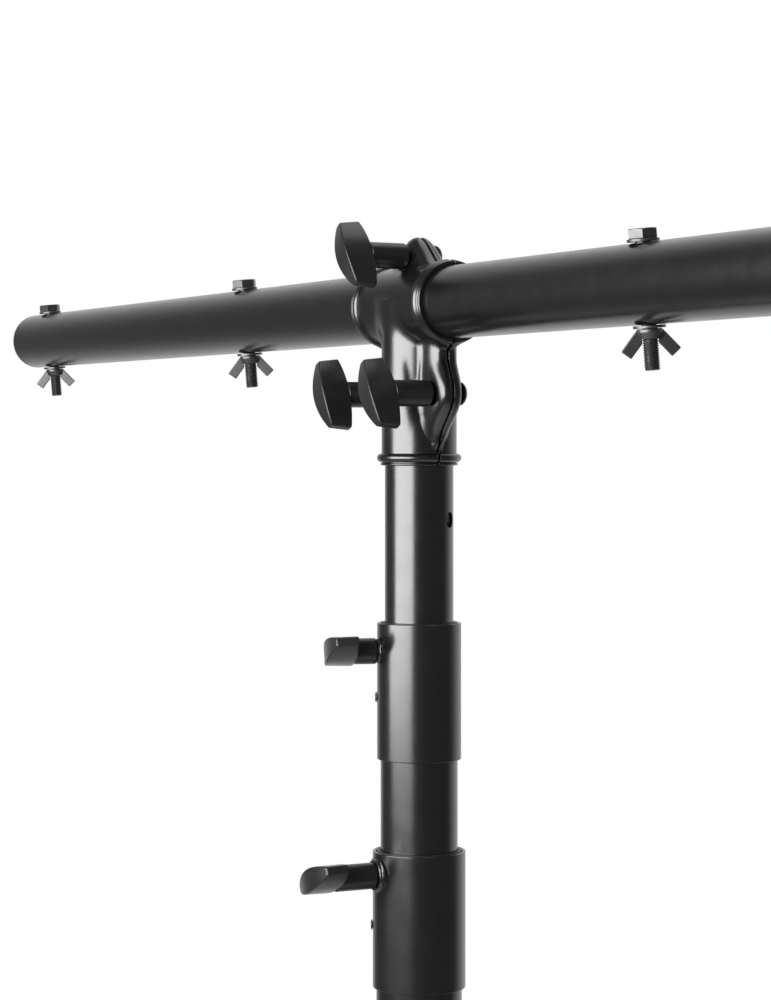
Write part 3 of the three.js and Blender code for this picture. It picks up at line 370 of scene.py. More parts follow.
KNOB_LENGTH = 53.6
KNOB_FACE_LENGTH = 49.6
KNOB_THICKNESS = 16.2
KNOB_TIP = 6.0
KNOB_DEPTH = 21.4
KNOB_END_DEPTH = 15.6
KNOB_BOW = 1.3
KNOB_EDGE = 1.1
KNOB_EDGE_STEPS = 4
KNOB_STATIONS = 40
HUB_RADIUS = 9.1
HUB_CORE_RADIUS = 6.37
HUB_LENGTH = 28.0
LOWER_HUB_LENGTH = 28.5
COLLAR_HUB_LENGTH = 28.0
UPPER_HUB_LENGTH = 14.5
HUB_CHAMFER = 0.8
HUB_ROUND = 0.4
STUD_RADIUS = 4.0
STUD_IN_HEAD = 9.0


def bowed(share, middle, end):
    """A size that is middle at the centre and end at a share of one."""
    return middle + (end - middle) * share ** 2


def rounded_section(thick, low, high, radius):
    """A rounded rectangle of thickness across and height, from its own half thickness."""
    points = []
    for corner, (side, level) in enumerate([(1, low), (1, high), (-1, high), (-1, low)]):
        centre = (side * (thick - radius), level + (radius if level == low else -radius))
        start = (corner - 1) * math.pi / 2
        points += arc(centre, radius, start, start + math.pi / 2, KNOB_EDGE_STEPS)
    return points


def lens_bar(name, hub_length):
    """The knob's bar: thickest and tallest at its middle, with every edge rounded."""
    half = KNOB_LENGTH / 2
    end_level = KNOB_BOW + KNOB_END_DEPTH
    turns = np.linspace(0, math.pi / 2, KNOB_EDGE_STEPS + 1)
    near = [(KNOB_EDGE - KNOB_EDGE * math.cos(a), KNOB_EDGE * (1 - math.sin(a))) for a in turns]
    middle = [place for place in np.linspace(0, KNOB_LENGTH, KNOB_STATIONS + 1)
              if KNOB_EDGE < place < KNOB_LENGTH - KNOB_EDGE]
    far = [(KNOB_LENGTH - place, shrink) for place, shrink in reversed(near)]
    stations = near + [(place, 0.0) for place in middle] + far
    vertices = []
    for place, shrink in stations:
        share = place / half - 1
        low = bowed(share, 0, KNOB_BOW) + shrink
        high = bowed(share, KNOB_DEPTH, end_level) - shrink
        thick = bowed(share, KNOB_THICKNESS, KNOB_TIP) / 2 - shrink
        for across, level in rounded_section(thick, low, high, KNOB_EDGE):
            reach = half + (KNOB_FACE_LENGTH / 2 - half) * level / end_level
            vertices.append((share * reach, across, hub_length + level))
    return mesh_piece(name, vertices, stacked_faces(len(stations), len(vertices) // len(stations)))


def knob(name, hub_length):
    """A whole knob, with the blind bore that its screw or bolt is moulded into."""
    bar = lens_bar(name, hub_length)
    core_end = hub_length + KNOB_DEPTH / 2
    join(bar, turned("hub", softened([
        (0, 0), (HUB_RADIUS - HUB_CHAMFER, 0), (HUB_RADIUS, HUB_CHAMFER),
        (HUB_RADIUS, hub_length + KNOB_BOW / 3), (HUB_CORE_RADIUS, hub_length + KNOB_BOW),
        (HUB_CORE_RADIUS, core_end), (0, core_end),
    ], HUB_ROUND)))
    end = hub_length + STUD_IN_HEAD + SEAT_GAP
    return cut(bar, rod("bore", STUD_RADIUS + SEAT_GAP, -OVERRUN, end, SCREW_SIDES))


def radial_frame(azimuth, rise, height):
    """Z points out along a level azimuth, and X is turned up from the level by rise."""
    out = Vector((math.cos(azimuth), math.sin(azimuth), 0))
    up = Vector((0, 0, 1))
    across = up.cross(out) * math.cos(rise) + up * math.sin(rise)
    third = out.cross(across)
    made = Matrix((across, third, out)).transposed().to_4x4()
    made.translation = (0, 0, height)
    return made


# Threaded screws

THREAD_STEPS = 12
THREAD_DEPTH_SHARE = 0.54
THREAD_TIP_SHARE = 1.2


def threaded_rod(name, radius, low, high, thread_high, pitch):
    """A screw's shank along Z, threaded up to thread_high, with a chamfered tip."""
    depth = THREAD_DEPTH_SHARE * pitch
    tip_length = THREAD_TIP_SHARE * depth
    count = int((thread_high - low) / pitch * THREAD_STEPS)
    heights = list(np.linspace(low, thread_high, count)) + [thread_high + depth, high]
    vertices = []
    for height in heights:
        for side in range(SCREW_SIDES):
            share = side / SCREW_SIDES
            phase = (height / pitch - share) % 1
            groove = abs(2 * phase - 1)
            inside = max(0.0, 1 - max(0.0, height - thread_high) / depth)
            tip = max(0.0, tip_length - (height - low))
            reach = radius - max(tip, depth * groove * inside)
            angle = 2 * math.pi * share
            vertices.append((reach * math.cos(angle), reach * math.sin(angle), height))
    return mesh_piece(name, vertices, stacked_faces(len(heights), SCREW_SIDES))


# Crossbar with its through bolts

BOLT_COUNT = 4
BOLT_PLACES = [sum(corner.x for corner in node_box(f"bar_bolt_{i + 1}")) / 2 for i in range(BOLT_COUNT)]
CROSS_HOLE = 5.5
BOLT_RADIUS = 5.0
BOLT_LENGTH = 80.0
BOLT_PITCH = 1.5
BOLT_THREAD = 32.0
HEAD_FLATS = 17.0
HEAD_HEIGHT = 6.0
HEAD_CROWN_DROP = 1.45
HEAD_CROWN_MARGIN = 1.0
HEAD_FACE_INSET = 0.3
HEAD_EDGE = 0.25
HEAD_EDGE_ANGLE = 25
HEAD_TURN = math.radians(25)
WASHER_RADIUS = 10.0
WASHER_THICKNESS = 1.8
WASHER_ROUND = 0.35
WASHER_LOW = BAR_RADIUS + SEAT_GAP
BOLT_SEAT = WASHER_LOW + WASHER_THICKNESS + SEAT_GAP
NUT_HEIGHT = 6.0
NUT_TOP_RADIUS = 8.0
NUT_END_RADIUS = 6.4
NUT_ROUND = 0.6
NUT_SPAN = 36.4
NUT_SHOULDER = 0.6
NUT_WING_WIDTH = 7.5
NUT_WING_ROUND = 0.8
NUT_WING_EDGE = 0.6
NUT_WING_SLOPE = math.radians(50)
NUT_WING_THICKNESS = 2.8
NUT_TURN = math.radians(62)
CAP_FLANGE = 1.5
CAP_DEPTH = 20.0
CAP_WALL = 2.5
CAP_ROUND = 0.7
HOLE_MARGIN = 9.0

BAR_FRAME = shift(0, 0, BAR_AXIS) @ turn(BAR_ROLL, "X")


def stations_round(places, low, high):
    """Places for rings of vertices: the two ends, and one each side of every hole."""
    marks = {low, high}
    for place in places:
        marks |= {place - HOLE_MARGIN, place + HOLE_MARGIN}
    return sorted(marks)


def make_crossbar():
    bar = tube("crossbar_tube_fine", BAR_RADIUS, BAR_RADIUS - TUBE_WALL,
               stations_round(BOLT_PLACES, -BAR_HALF, BAR_HALF))
    moved(bar, turn(math.pi / 2, "Y"))
    for place in BOLT_PLACES:
        hole = rod("hole", CROSS_HOLE, -BAR_RADIUS - OVERRUN, BAR_RADIUS + OVERRUN, SCREW_SIDES)
        cut(bar, moved(hole, shift(place, 0, 0)))
    finished(moved(bar, BAR_FRAME), "crossbar_tube")

    spigot = BAR_RADIUS - TUBE_WALL - SEAT_GAP
    cup = spigot - CAP_WALL
    outline = softened([
        (0, SEAT_GAP), (cup, SEAT_GAP), (cup, -CAP_DEPTH), (spigot, -CAP_DEPTH), (spigot, SEAT_GAP),
        (BAR_RADIUS, SEAT_GAP), (BAR_RADIUS, SEAT_GAP + CAP_FLANGE), (0, SEAT_GAP + CAP_FLANGE),
    ], CAP_ROUND)
    for node, side in (("crossbar_cap_left", -1), ("crossbar_cap_right", 1)):
        cap = turned(node + "_fine", outline)
        moved(cap, BAR_FRAME @ shift(side * BAR_HALF, 0, 0) @ turn(side * math.pi / 2, "Y"))
        finished(cap, node)


def hex_bolt(name):
    """A bolt about the bar's axis: a hexagon under a turned crown, and a threaded shank."""
    corner = HEAD_FLATS / 2 / math.cos(math.pi / 6)
    low, high = BOLT_SEAT, BOLT_SEAT + HEAD_HEIGHT
    head = moved(rod(name, corner, low, high, 6), turn(HEAD_TURN, "Z"))
    clear = corner + HEAD_CROWN_MARGIN
    crown = turned("crown", [
        (0, low - OVERRUN), (clear, low - OVERRUN), (clear, high - HEAD_CROWN_DROP),
        (HEAD_FLATS / 2 - HEAD_FACE_INSET, high), (0, high),
    ], SMALL_SIDES)
    combine(head, crown, "INTERSECT")
    bevelled(head, HEAD_EDGE, FINE_EDGE_STEPS, HEAD_EDGE_ANGLE)
    end = low - BOLT_LENGTH
    shank = threaded_rod("shank", BOLT_RADIUS, end, low + HEAD_HEIGHT / 2, end + BOLT_THREAD, BOLT_PITCH)
    return join(head, shank)


def washer(name, low):
    """A washer about the bar's axis, from its lower face."""
    inner = BOLT_RADIUS + SEAT_GAP
    high = low + WASHER_THICKNESS
    outline = [(inner, low), (WASHER_RADIUS, low), (WASHER_RADIUS, high), (inner, high)]
    return turned(name, softened(outline, WASHER_ROUND), SMALL_SIDES)


def wing_nut(name):
    """A wing nut below its seat at zero, with two flat wings that flare out and down."""
    hub = turned(name, softened([
        (0, -NUT_HEIGHT), (NUT_END_RADIUS, -NUT_HEIGHT), (NUT_TOP_RADIUS, -NUT_HEIGHT / 3),
        (NUT_TOP_RADIUS, 0), (0, 0),
    ], NUT_ROUND), SMALL_SIDES)
    along = Vector((math.cos(NUT_WING_SLOPE), -math.sin(NUT_WING_SLOPE)))
    across = Vector((math.sin(NUT_WING_SLOPE), math.cos(NUT_WING_SLOPE))) * NUT_WING_WIDTH
    shoulder = Vector((NUT_TOP_RADIUS, -NUT_SHOULDER))
    tip = shoulder + along * (NUT_SPAN / 2 - NUT_TOP_RADIUS) / along.x
    outline = softened([shoulder - across, tip - across, tip, shoulder], NUT_WING_ROUND)
    for side in (0, 1):
        wing = extruded("wing", outline, -NUT_WING_THICKNESS / 2, NUT_WING_THICKNESS / 2)
        bevelled(wing, NUT_WING_EDGE)
        join(hub, moved(wing, turn(side * math.pi, "Z") @ turn(math.pi / 2, "X")))
    return cut(hub, rod("bore", BOLT_RADIUS + SEAT_GAP, -NUT_SPAN, OVERRUN, SCREW_SIDES))


def make_fasteners():
    for i, place in enumerate(BOLT_PLACES, 1):
        here = BAR_FRAME @ shift(place, 0, 0)
        finished(moved(hex_bolt(f"bar_bolt_{i}_fine"), here), f"bar_bolt_{i}")
        finished(moved(washer(f"upper_washer_{i}_fine", WASHER_LOW), here), f"upper_washer_{i}")
        lower = washer(f"lower_washer_{i}_fine", -WASHER_LOW - WASHER_THICKNESS)
        finished(moved(lower, here), f"lower_washer_{i}")
        nut = moved(wing_nut(f"wing_nut_{i}_fine"), here @ shift(0, 0, -BOLT_SEAT) @ turn(NUT_TURN, "Z"))
        finished(nut, f"wing_nut_{i}")


# T clamp: a bead is its centre in from the collar's end, its half width and its height

CLAMP_SHEET = 2.0
CLAMP_SEAM = 0.6
CLAMP_SMOOTH = math.radians(50)
MAST_COLLAR_DROP = 112.3
MAST_BEAD = (5.3, 3.15, 3.3)
BAR_COLLAR_HALF = 50.0
BAR_BEAD = (7.0, 3.0, 2.3)
BAR_RIDGE = (3.2, 1.6, 1.5)
LIP = (0.9, 0.9, 0.9)
BEAD_BLEND = 0.2
LIP_STEPS = 8
BEAD_STEPS = 16
LEAST_STEP = 0.06
SKIN_STEP = 1.3
MAST_SKIN_GAP = 6.0
BAR_SKIN_GAP = 0.2
EAR_HALF = 12.2
SIDE_EAR_POWER = 3.6
TOP_EAR_POWER = 2.9
EAR_FILLET = 8.0
EAR_SEAT_RADIUS = 10.4
EAR_SEAT_CUT = 6.0
SIDE_EAR_REACH = 49.0
SIDE_EAR_DROP = 62.5
SIDE_EAR_RISE = 25.5
SIDE_EAR_FALL = 32.5
SIDE_BOLT_PLACE = 34.6
WEB_REACH = 41.0
FLANGE_REACH = 30.2
FLANGE_HALF = 5.0
FLANGE_POWER = 0.25
FLANGE_FILLET_SHARE = 0.6
TOP_EAR_REACH = 47.5
TOP_EAR_SPREAD = 31.0
TOP_BOLT_RISE = 33.8
COLLAR_BLEND = 7.0
SEAM_ROUND = 2.2
SEAM_ANGLES = [0.15, 0.55, 1.0, 1.6, 2.4]
EAR_ANGLES = np.arange(3.4, 62, 1.5)
PLAIN_ANGLES = np.arange(62, 90, 3)
FIELD_STEP = 0.02
LEAST_SLOPE = 0.25
SKIN_DEPTH = 0.6
MAST_COLLAR_RADIUS = TOP_RADIUS + SEAT_GAP + CLAMP_SHEET
BAR_COLLAR_RADIUS = BAR_RADIUS + SEAT_GAP + CLAMP_SHEET
DOME_RADIUS = 8.25
DOME_HEIGHT = 4.0
DOME_POWER = 0.9
DOME_ANGLES = np.radians(np.arange(10, 90, 10))


def smooth_max(a, b, blend):
    """The greater of two values, rounded where they differ by less than blend."""
    near = np.maximum(blend - np.abs(a - b), 0)
    return np.maximum(a, b) + near * near / np.maximum(blend, ON_AXIS) / 4


def bell(share):
    """One at the middle, and level at both ends."""
    return np.maximum(1 - share * share, 0) ** 2


def ridge(from_end, centre, half, height):
    """The height of a half-round bead at a distance in from its collar's end."""
    share = (from_end - centre) / half
    return height * np.sqrt(np.maximum(1 - share * share, 0))


def rim(from_end, *beads):
    height = ridge(from_end, *LIP)
    for bead in beads:
        height = smooth_max(height, ridge(from_end, *bead), BEAD_BLEND)
    return height


def superellipse(angle, reach, half, power):
    along = np.abs(np.cos(angle)) / reach
    across = np.abs(np.sin(angle)) / half
    return (along ** power + across ** power) ** (-1 / power)


def mast_skin(angle, z):
    """Radius of the clamp's mast collar with its side ears, at an angle from +X and a height."""
    from_end = z + MAST_COLLAR_DROP
    body = MAST_COLLAR_RADIUS + rim(from_end, MAST_BEAD)
    above = z + SIDE_EAR_DROP
    swell = bell(above / np.where(above > 0, SIDE_EAR_RISE, SIDE_EAR_FALL))
    flange = np.clip(from_end / (MAST_BEAD[0] + MAST_BEAD[1]) - 1, 0, 1)
    flange = flange * flange * (3 - 2 * flange)
    rest = np.where(above > 0, WEB_REACH, MAST_COLLAR_RADIUS + (FLANGE_REACH - MAST_COLLAR_RADIUS) * flange)
    reach = rest + (SIDE_EAR_REACH - rest) * swell
    half = np.where(above > 0, EAR_HALF, FLANGE_HALF + (EAR_HALF - FLANGE_HALF) * swell ** FLANGE_POWER)
    ear = superellipse(angle, reach, half, SIDE_EAR_POWER)
    return smooth_max(body, ear, EAR_FILLET * np.maximum(swell, flange * FLANGE_FILLET_SHARE))


def bar_skin(angle, x):
    """Radius of the clamp's bar collar with its top ear, at an angle from +Z and a place along X."""
    from_end = BAR_COLLAR_HALF - np.abs(x)
    body = BAR_COLLAR_RADIUS + rim(from_end, BAR_BEAD, BAR_RIDGE)
    swell = bell(x / TOP_EAR_SPREAD)
    reach = BAR_COLLAR_RADIUS + (TOP_EAR_REACH - BAR_COLLAR_RADIUS) * swell
    ear = superellipse(angle, reach, EAR_HALF, TOP_EAR_POWER)
    ear = smooth_max(body, ear, np.maximum(EAR_FILLET * swell, CLAMP_SEAM))
    return np.where(np.cos(angle) > 0, ear, body)


def mast_field(p):
    radius = np.hypot(p[:, 0], p[:, 1])
    z = np.clip(p[:, 2], -MAST_COLLAR_DROP, 0)
    side = radius - mast_skin(np.arctan2(p[:, 1], p[:, 0]), z)
    return np.maximum(side, np.maximum(p[:, 2], -MAST_COLLAR_DROP - p[:, 2]))


def bar_field(p):
    radius = np.hypot(p[:, 1], p[:, 2])
    x = np.clip(p[:, 0], -BAR_COLLAR_HALF, BAR_COLLAR_HALF)
    side = radius - bar_skin(np.arctan2(p[:, 1], p[:, 2]), x)
    return np.maximum(side, np.abs(p[:, 0]) - BAR_COLLAR_HALF)


def clamp_field(p):
    """Negative inside the clamp's outer form, with a fillet where its two collars meet."""
    return -smooth_max(-mast_field(p), -bar_field(p), COLLAR_BLEND)


def drawn_to(field, points, chosen, rounds=4):
    """Moves the chosen points onto a field's zero surface, along its gradient."""
    for _ in range(rounds):
        here = points[chosen]
        value = field(here)
        slope = np.stack([
            (field(here + step) - field(here - step)) / (2 * FIELD_STEP) for step in FIELD_STEP * np.eye(3)
        ], axis=1)
        length = np.maximum((slope ** 2).sum(1), LEAST_SLOPE)
        points[chosen] = here - (value / length)[:, None] * slope
    return points


def ear_angles():
    """Angles round a collar, closest across the seam and the ears."""
    quarter = np.radians(np.concatenate([SEAM_ANGLES, EAR_ANGLES, PLAIN_ANGLES]))
    half = np.concatenate([quarter, [math.pi / 2], math.pi - quarter[::-1]])
    return np.concatenate([half, half + math.pi])


def rim_places(*beads):
    """Places in from a collar's open end: closely over its lip and its beads."""
    places = LIP[0] - LIP[1] * np.cos(np.linspace(0, math.pi, LIP_STEPS + 1))
    for centre, half, _ in beads:
        over = centre - half * np.cos(np.linspace(0, math.pi, BEAD_STEPS + 1))
        places = np.concatenate([places, over])
    places = np.sort(places)
    return places[np.concatenate([[True], np.diff(places) > LEAST_STEP])]


def lofted(name, radius, angles, stations):
    """A closed skin round Z, from a radius at each angle and station."""
    count = len(angles)
    vertices = []
    for station in stations:
        reach = radius(angles, np.full(count, station))
        vertices += list(zip(reach * np.cos(angles), reach * np.sin(angles), np.full(count, station)))
    return mesh_piece(name, vertices, stacked_faces(len(stations), count))


CLAMP_BOLTS = [
    ("top", 0.0, TOP_BOLT_RISE, math.radians(121)),
    ("right", SIDE_BOLT_PLACE, -SIDE_EAR_DROP, math.radians(118.6)),
    ("left", -SIDE_BOLT_PLACE, -SIDE_EAR_DROP, math.radians(114)),
]


def bolt_frame(x, z, rise):
    """Z points out to -Y at a clamp bolt, about the crossing of the two axes."""
    return shift(x, 0, z) @ radial_frame(-math.pi / 2, rise, 0)


def clamp_form():
    """The clamp's whole outer form, about the crossing of the two axes."""
    mast_end = rim_places(MAST_BEAD) - MAST_COLLAR_DROP
    mast_rest = np.arange(mast_end[-1] + SKIN_STEP, -MAST_SKIN_GAP, SKIN_STEP)
    form = lofted("clamp_form", mast_skin, ear_angles(), np.concatenate([mast_end, mast_rest, [0.0]]))
    bar_end = BAR_COLLAR_HALF - rim_places(BAR_BEAD, BAR_RIDGE)
    right = np.concatenate([bar_end, np.arange(bar_end[-1] - SKIN_STEP, BAR_SKIN_GAP, -SKIN_STEP)])
    collar = lofted("bar_collar", bar_skin, ear_angles(), np.concatenate([-right, right[::-1]]))
    return join(form, moved(collar, turn(-math.pi / 2, "Y")))


def vertex_array(piece):
    flat = np.empty(len(piece.data.vertices) * 3)
    piece.data.vertices.foreach_get("co", flat)
    return flat.reshape(-1, 3) / MM


def set_vertices(piece, points):
    piece.data.vertices.foreach_set("co", (points * MM).ravel())
    piece.data.update()


def smooth_crossing(piece):
    """Rounds the valley between the two collars."""
    points = vertex_array(piece)
    apart = np.abs(mast_field(points) - bar_field(points))
    set_vertices(piece, drawn_to(clamp_field, points, apart < COLLAR_BLEND))


def round_seam(piece, side):
    """Rounds the shell's outer edge along the seam."""
    def shell_field(p):
        return smooth_max(clamp_field(p), CLAMP_SEAM / 2 - side * p[:, 1], SEAM_ROUND)

    points = vertex_array(piece)
    beside = (side * points[:, 1] < CLAMP_SEAM / 2 + SEAM_ROUND) & (clamp_field(points) > -SKIN_DEPTH)
    set_vertices(piece, drawn_to(shell_field, points, beside, rounds=2))


def seam_half(form, name, side):
    """A copy of the closed form, with only what lies beyond the seam on its own side."""
    work = bmesh.new()
    work.from_mesh(form.data)
    bmesh.ops.bisect_plane(
        work, geom=[*work.verts, *work.edges, *work.faces], dist=WELD_METRES,
        plane_co=(0, side * CLAMP_SEAM / 2 * MM, 0), plane_no=(0, side, 0), clear_inner=True)
    bmesh.ops.edgeloop_fill(work, edges=[edge for edge in work.edges if edge.is_boundary])
    bmesh.ops.recalc_face_normals(work, faces=work.faces)
    mesh = bpy.data.meshes.new(name)
    work.to_mesh(mesh)
    work.free()
    return added(name, mesh)


def make_clamp():
    form = clamp_form()
    smooth_crossing(form)
    long = 2 * MAST_COLLAR_DROP
    seat = EAR_HALF + EAR_SEAT_CUT
    for node, side in (("clamp_shell_front", -1), ("clamp_shell_rear", 1)):
        shell = seam_half(form, node + "_fine", side)
        round_seam(shell, side)
        for _, x, z, _ in CLAMP_BOLTS:
            here = bolt_frame(x, z, 0)
            ends = (EAR_HALF, seat) if side < 0 else (-seat, -EAR_HALF)
            cut(shell, moved(rod("seat", EAR_SEAT_RADIUS, *ends), here))
            cut(shell, moved(rod("bolt_hole", STUD_RADIUS + SEAT_GAP, -seat, seat, SCREW_SIDES), here))
        cut(shell, rod("mast_bore", TOP_RADIUS + SEAT_GAP, -long, 0))
        bore = rod("bar_bore", BAR_RADIUS + SEAT_GAP, -long, long, TURN_SIDES)
        cut(shell, moved(bore, turn(math.pi / 2, "Y")))
        finished(moved(shell, shift(0, 0, BAR_AXIS)), node, CLAMP_SMOOTH)
    bpy.data.objects.remove(form)


def make_clamp_bolts():
    face = EAR_HALF + SEAT_GAP
    for name, x, z, rise in CLAMP_BOLTS:
        place = shift(0, 0, BAR_AXIS) @ bolt_frame(x, z, rise)
        end = face + HUB_LENGTH + STUD_IN_HEAD
        dome = [(0, -face - DOME_HEIGHT)]
        for a in DOME_ANGLES:
            dome.append((DOME_RADIUS * math.sin(a) ** DOME_POWER, -face - DOME_HEIGHT * math.cos(a)))
        dome += [(DOME_RADIUS, -face), (0, -face)]
        head = turned(f"clamp_bolt_{name}_fine", dome, SMALL_SIDES)
        join(head, rod("shank", STUD_RADIUS, -face - DOME_HEIGHT / 4, end, SCREW_SIDES))
        finished(moved(head, place), f"clamp_bolt_{name}")
        handle = moved(knob(f"clamp_knob_{name}_fine", HUB_LENGTH), place @ shift(0, 0, face))
        finished(handle, f"clamp_knob_{name}")


# Mast

CROSS_HOLE_DROP = 150.2
CROSS_HOLE_HEIGHT = BAR_AXIS - CROSS_HOLE_DROP
CROSS_HOLE_AZIMUTH = math.radians(34)
MAST_EDGE = 0.5
SLEEVE_WALL = 2.2
SLEEVE_ROUND = 0.7
SLEEVE_STATION_DROP = 24.0
LINER_PROUD = 0.6
LINER_ROUND = 0.5
RIVET_DROP = 52.2
RIVET_AZIMUTH = math.radians(-119)
RIVET_RADIUS = 2.4
RIVET_HEAD_RADIUS = 4.0
RIVET_HEAD_HEIGHT = 1.2
RIVET_CROWN = [(3.0, 0.96), (1.44, RIVET_HEAD_HEIGHT), (1.2, 0.2), (0.0, 0.2)]
RIVET_ROUND = 0.3
LOCK_HOLE = 5.0
SHOE_THICKNESS = 3.2
SCREW_ROUND = 0.5
BOSS_FLARE = 2.0
BOSS_FALL = 2.0
BOSS_EDGE = 0.5
BOSS_STEPS = 5
BOSS_ROOT = 1.0

LOCKS = [
    {"name": "upper", "inner": TOP_RADIUS, "tube": SECOND_RADIUS, "drop": 19.5,
     "azimuth": math.radians(-108.4), "rise": math.radians(20),
     "boss": 1.0, "boss_radius": 8.6, "hub": UPPER_HUB_LENGTH},
    {"name": "lower", "inner": SECOND_RADIUS, "tube": BASE_RADIUS, "drop": 15.3,
     "azimuth": math.radians(-92.6), "rise": math.radians(23),
     "boss": 3.0, "boss_radius": 10.8, "hub": LOWER_HUB_LENGTH},
]


def make_top_tube():
    stations = stations_round([CROSS_HOLE_HEIGHT], TOP_TUBE_LOW.z, TOP_TUBE_HIGH.z)
    top = tube("top_tube_fine", TOP_RADIUS, TOP_RADIUS - TUBE_WALL, stations, MAST_EDGE)
    hole = rod("hole", CROSS_HOLE, -TOP_RADIUS - OVERRUN, TOP_RADIUS + OVERRUN, SMALL_SIDES)
    cut(top, moved(hole, radial_frame(CROSS_HOLE_AZIMUTH, 0, CROSS_HOLE_HEIGHT)))
    finished(top, "top_tube")


def make_locked_tube(lock, node):
    """A mast tube with the hole that its lock screw passes through."""
    low, high = (corner.z for corner in node_box(node))
    top = node_box(lock["name"] + "_lock_sleeve")[1].z
    stations = stations_round([top - RIVET_DROP], low, high)
    piece = tube(node + "_fine", lock["tube"], lock["tube"] - TUBE_WALL, stations, MAST_EDGE)
    hole = rod("hole", LOCK_HOLE, 0, lock["tube"] + OVERRUN, SCREW_SIDES)
    cut(piece, moved(hole, radial_frame(lock["azimuth"], 0, top - lock["drop"])))
    finished(piece, node)


def lock_boss(lock, inner, top):
    """The sleeve's boss along Z, with a small flare at its root."""
    wide = lock["boss_radius"]
    outline = [(0, inner - BOSS_ROOT), (wide + BOSS_FLARE, inner - BOSS_ROOT)]
    for a in np.linspace(0, math.pi / 2, BOSS_STEPS + 1):
        outline.append((wide + BOSS_FLARE * (1 - math.sin(a)), top - BOSS_EDGE - BOSS_FALL * math.cos(a)))
    return turned("boss", outline + [(wide - BOSS_EDGE, top), (0, top)], SMALL_SIDES)


def make_lock(lock):
    """A lock sleeve on the head of its tube, with its liner bush, rivet, screw and knob."""
    name = lock["name"]
    low, high = (corner.z for corner in node_box(name + "_lock_sleeve"))
    knob_height = high - lock["drop"]
    inner = lock["tube"] + SEAT_GAP
    outer = inner + SLEEVE_WALL
    boss_end = outer + lock["boss"]
    knob_frame = radial_frame(lock["azimuth"], lock["rise"], knob_height)

    sleeve = turned(name + "_lock_sleeve_fine", softened([
        (inner, low), (outer, low), (outer, knob_height - SLEEVE_STATION_DROP), (outer, high), (inner, high),
    ], SLEEVE_ROUND))
    boss = moved(lock_boss(lock, inner, boss_end), knob_frame)
    cut(boss, rod("mouth", inner, low, high, TURN_SIDES))
    join(sleeve, boss)
    cut(sleeve, moved(rod("hole", LOCK_HOLE, 0, boss_end + OVERRUN, SCREW_SIDES), knob_frame))
    finished(sleeve, name + "_lock_sleeve")

    bore = lock["inner"] + SEAT_GAP
    liner_low = node_box(name + "_liner_bush")[0].z
    liner_high = high + LINER_PROUD
    liner = turned(name + "_liner_bush_fine", softened([
        (bore, liner_low), (lock["tube"], liner_low), (lock["tube"], liner_high), (bore, liner_high),
    ], LINER_ROUND))
    finished(liner, name + "_liner_bush")

    screw_low = lock["inner"] + SHOE_THICKNESS + 2 * SEAT_GAP
    add_lock_knob(name + "_lock", knob_frame, screw_low, boss_end + SEAT_GAP, lock["hub"])

    rivet_low = lock["tube"] - TUBE_WALL + SEAT_GAP
    head_low = outer + SEAT_GAP
    rivet = turned(name + "_sleeve_rivet_fine", softened([
        (0, rivet_low), (RIVET_RADIUS, rivet_low), (RIVET_RADIUS, head_low), (RIVET_HEAD_RADIUS, head_low),
        *((radius, head_low + height) for radius, height in RIVET_CROWN),
    ], RIVET_ROUND), SCREW_SIDES)
    finished(moved(rivet, radial_frame(RIVET_AZIMUTH, 0, high - RIVET_DROP)), name + "_sleeve_rivet")


def add_lock_knob(name, knob_frame, screw_low, root, hub_length):
    """A lock's screw and the knob on it, whose hub starts at root."""
    screw_high = root + hub_length + STUD_IN_HEAD
    screw = rod(f"{name}_screw_fine", STUD_RADIUS, screw_low, screw_high, SCREW_SIDES, SCREW_ROUND)
    finished(moved(screw, knob_frame), f"{name}_screw")
    handle = knob(f"{name}_knob_fine", hub_length)
    finished(moved(handle, knob_frame @ shift(0, 0, root)), f"{name}_knob")


# Tripod

LEG_COUNT = 3
LEG_SPREAD = math.radians(52)
LEG_LENGTH = 828.0
LEG_WIDTH = 22.0
LEG_DEPTH = 30.0
LEG_WALL = 2.0
LEG_ROUND = 3.0
LEG_END_STEPS = 24
PIVOT_RADIUS = 54.0
COLLAR_LOW, COLLAR_HIGH = node_box("leg_collar")
COLLAR_BELOW = 24.0
COLLAR_PIVOT = COLLAR_LOW.z + COLLAR_BELOW
BRACE_LENGTH = 383.0
BRACE_WIDTH = 18.0
BRACE_BAR = 4.0
BRACE_CLEARANCE = 1.2
BRACE_INNER = LEG_WIDTH / 2 + BRACE_CLEARANCE
BRACE_EDGE = 0.8
BUTTON_RADIUS = 7.0
BUTTON_HEIGHT = 2.4
BUTTON_ROUND = 1.2
HUB_PIVOT = COLLAR_PIVOT - 2 * BRACE_LENGTH * math.cos(LEG_SPREAD)
COLLAR_CLEARANCE = 0.4
COLLAR_WALL = 7.0
COLLAR_BORE = BASE_RADIUS + COLLAR_CLEARANCE
COLLAR_RADIUS = COLLAR_BORE + COLLAR_WALL
COLLAR_EAR = 5.0
COLLAR_EAR_CLEARANCE = 0.5
COLLAR_EAR_LOW = LEG_WIDTH / 2 + COLLAR_EAR_CLEARANCE
COLLAR_EAR_RADIUS = 11.0
COLLAR_EDGE = 0.8
COLLAR_BOSS_LOW = 20.0
COLLAR_KNOB_AZIMUTH = math.radians(-60)
LUG_ROOT = 3.0
TURNED_ROUND = 1.5
PIN_RADIUS = 4.0
PIN_HEAD_RADIUS = 7.0
PIN_HEAD_HEIGHT = 3.0
PIN_ROUND = 1.0
HUB_LOW, HUB_HIGH = node_box("base_hub")
HUB_BORE = BASE_RADIUS + SEAT_GAP
HUB_WALL = 7.2
BASE_HUB_RADIUS = HUB_BORE + HUB_WALL
HUB_FLOOR = 4.7
LUG_RADIUS = 10.0
LUG_EDGE = 1.0
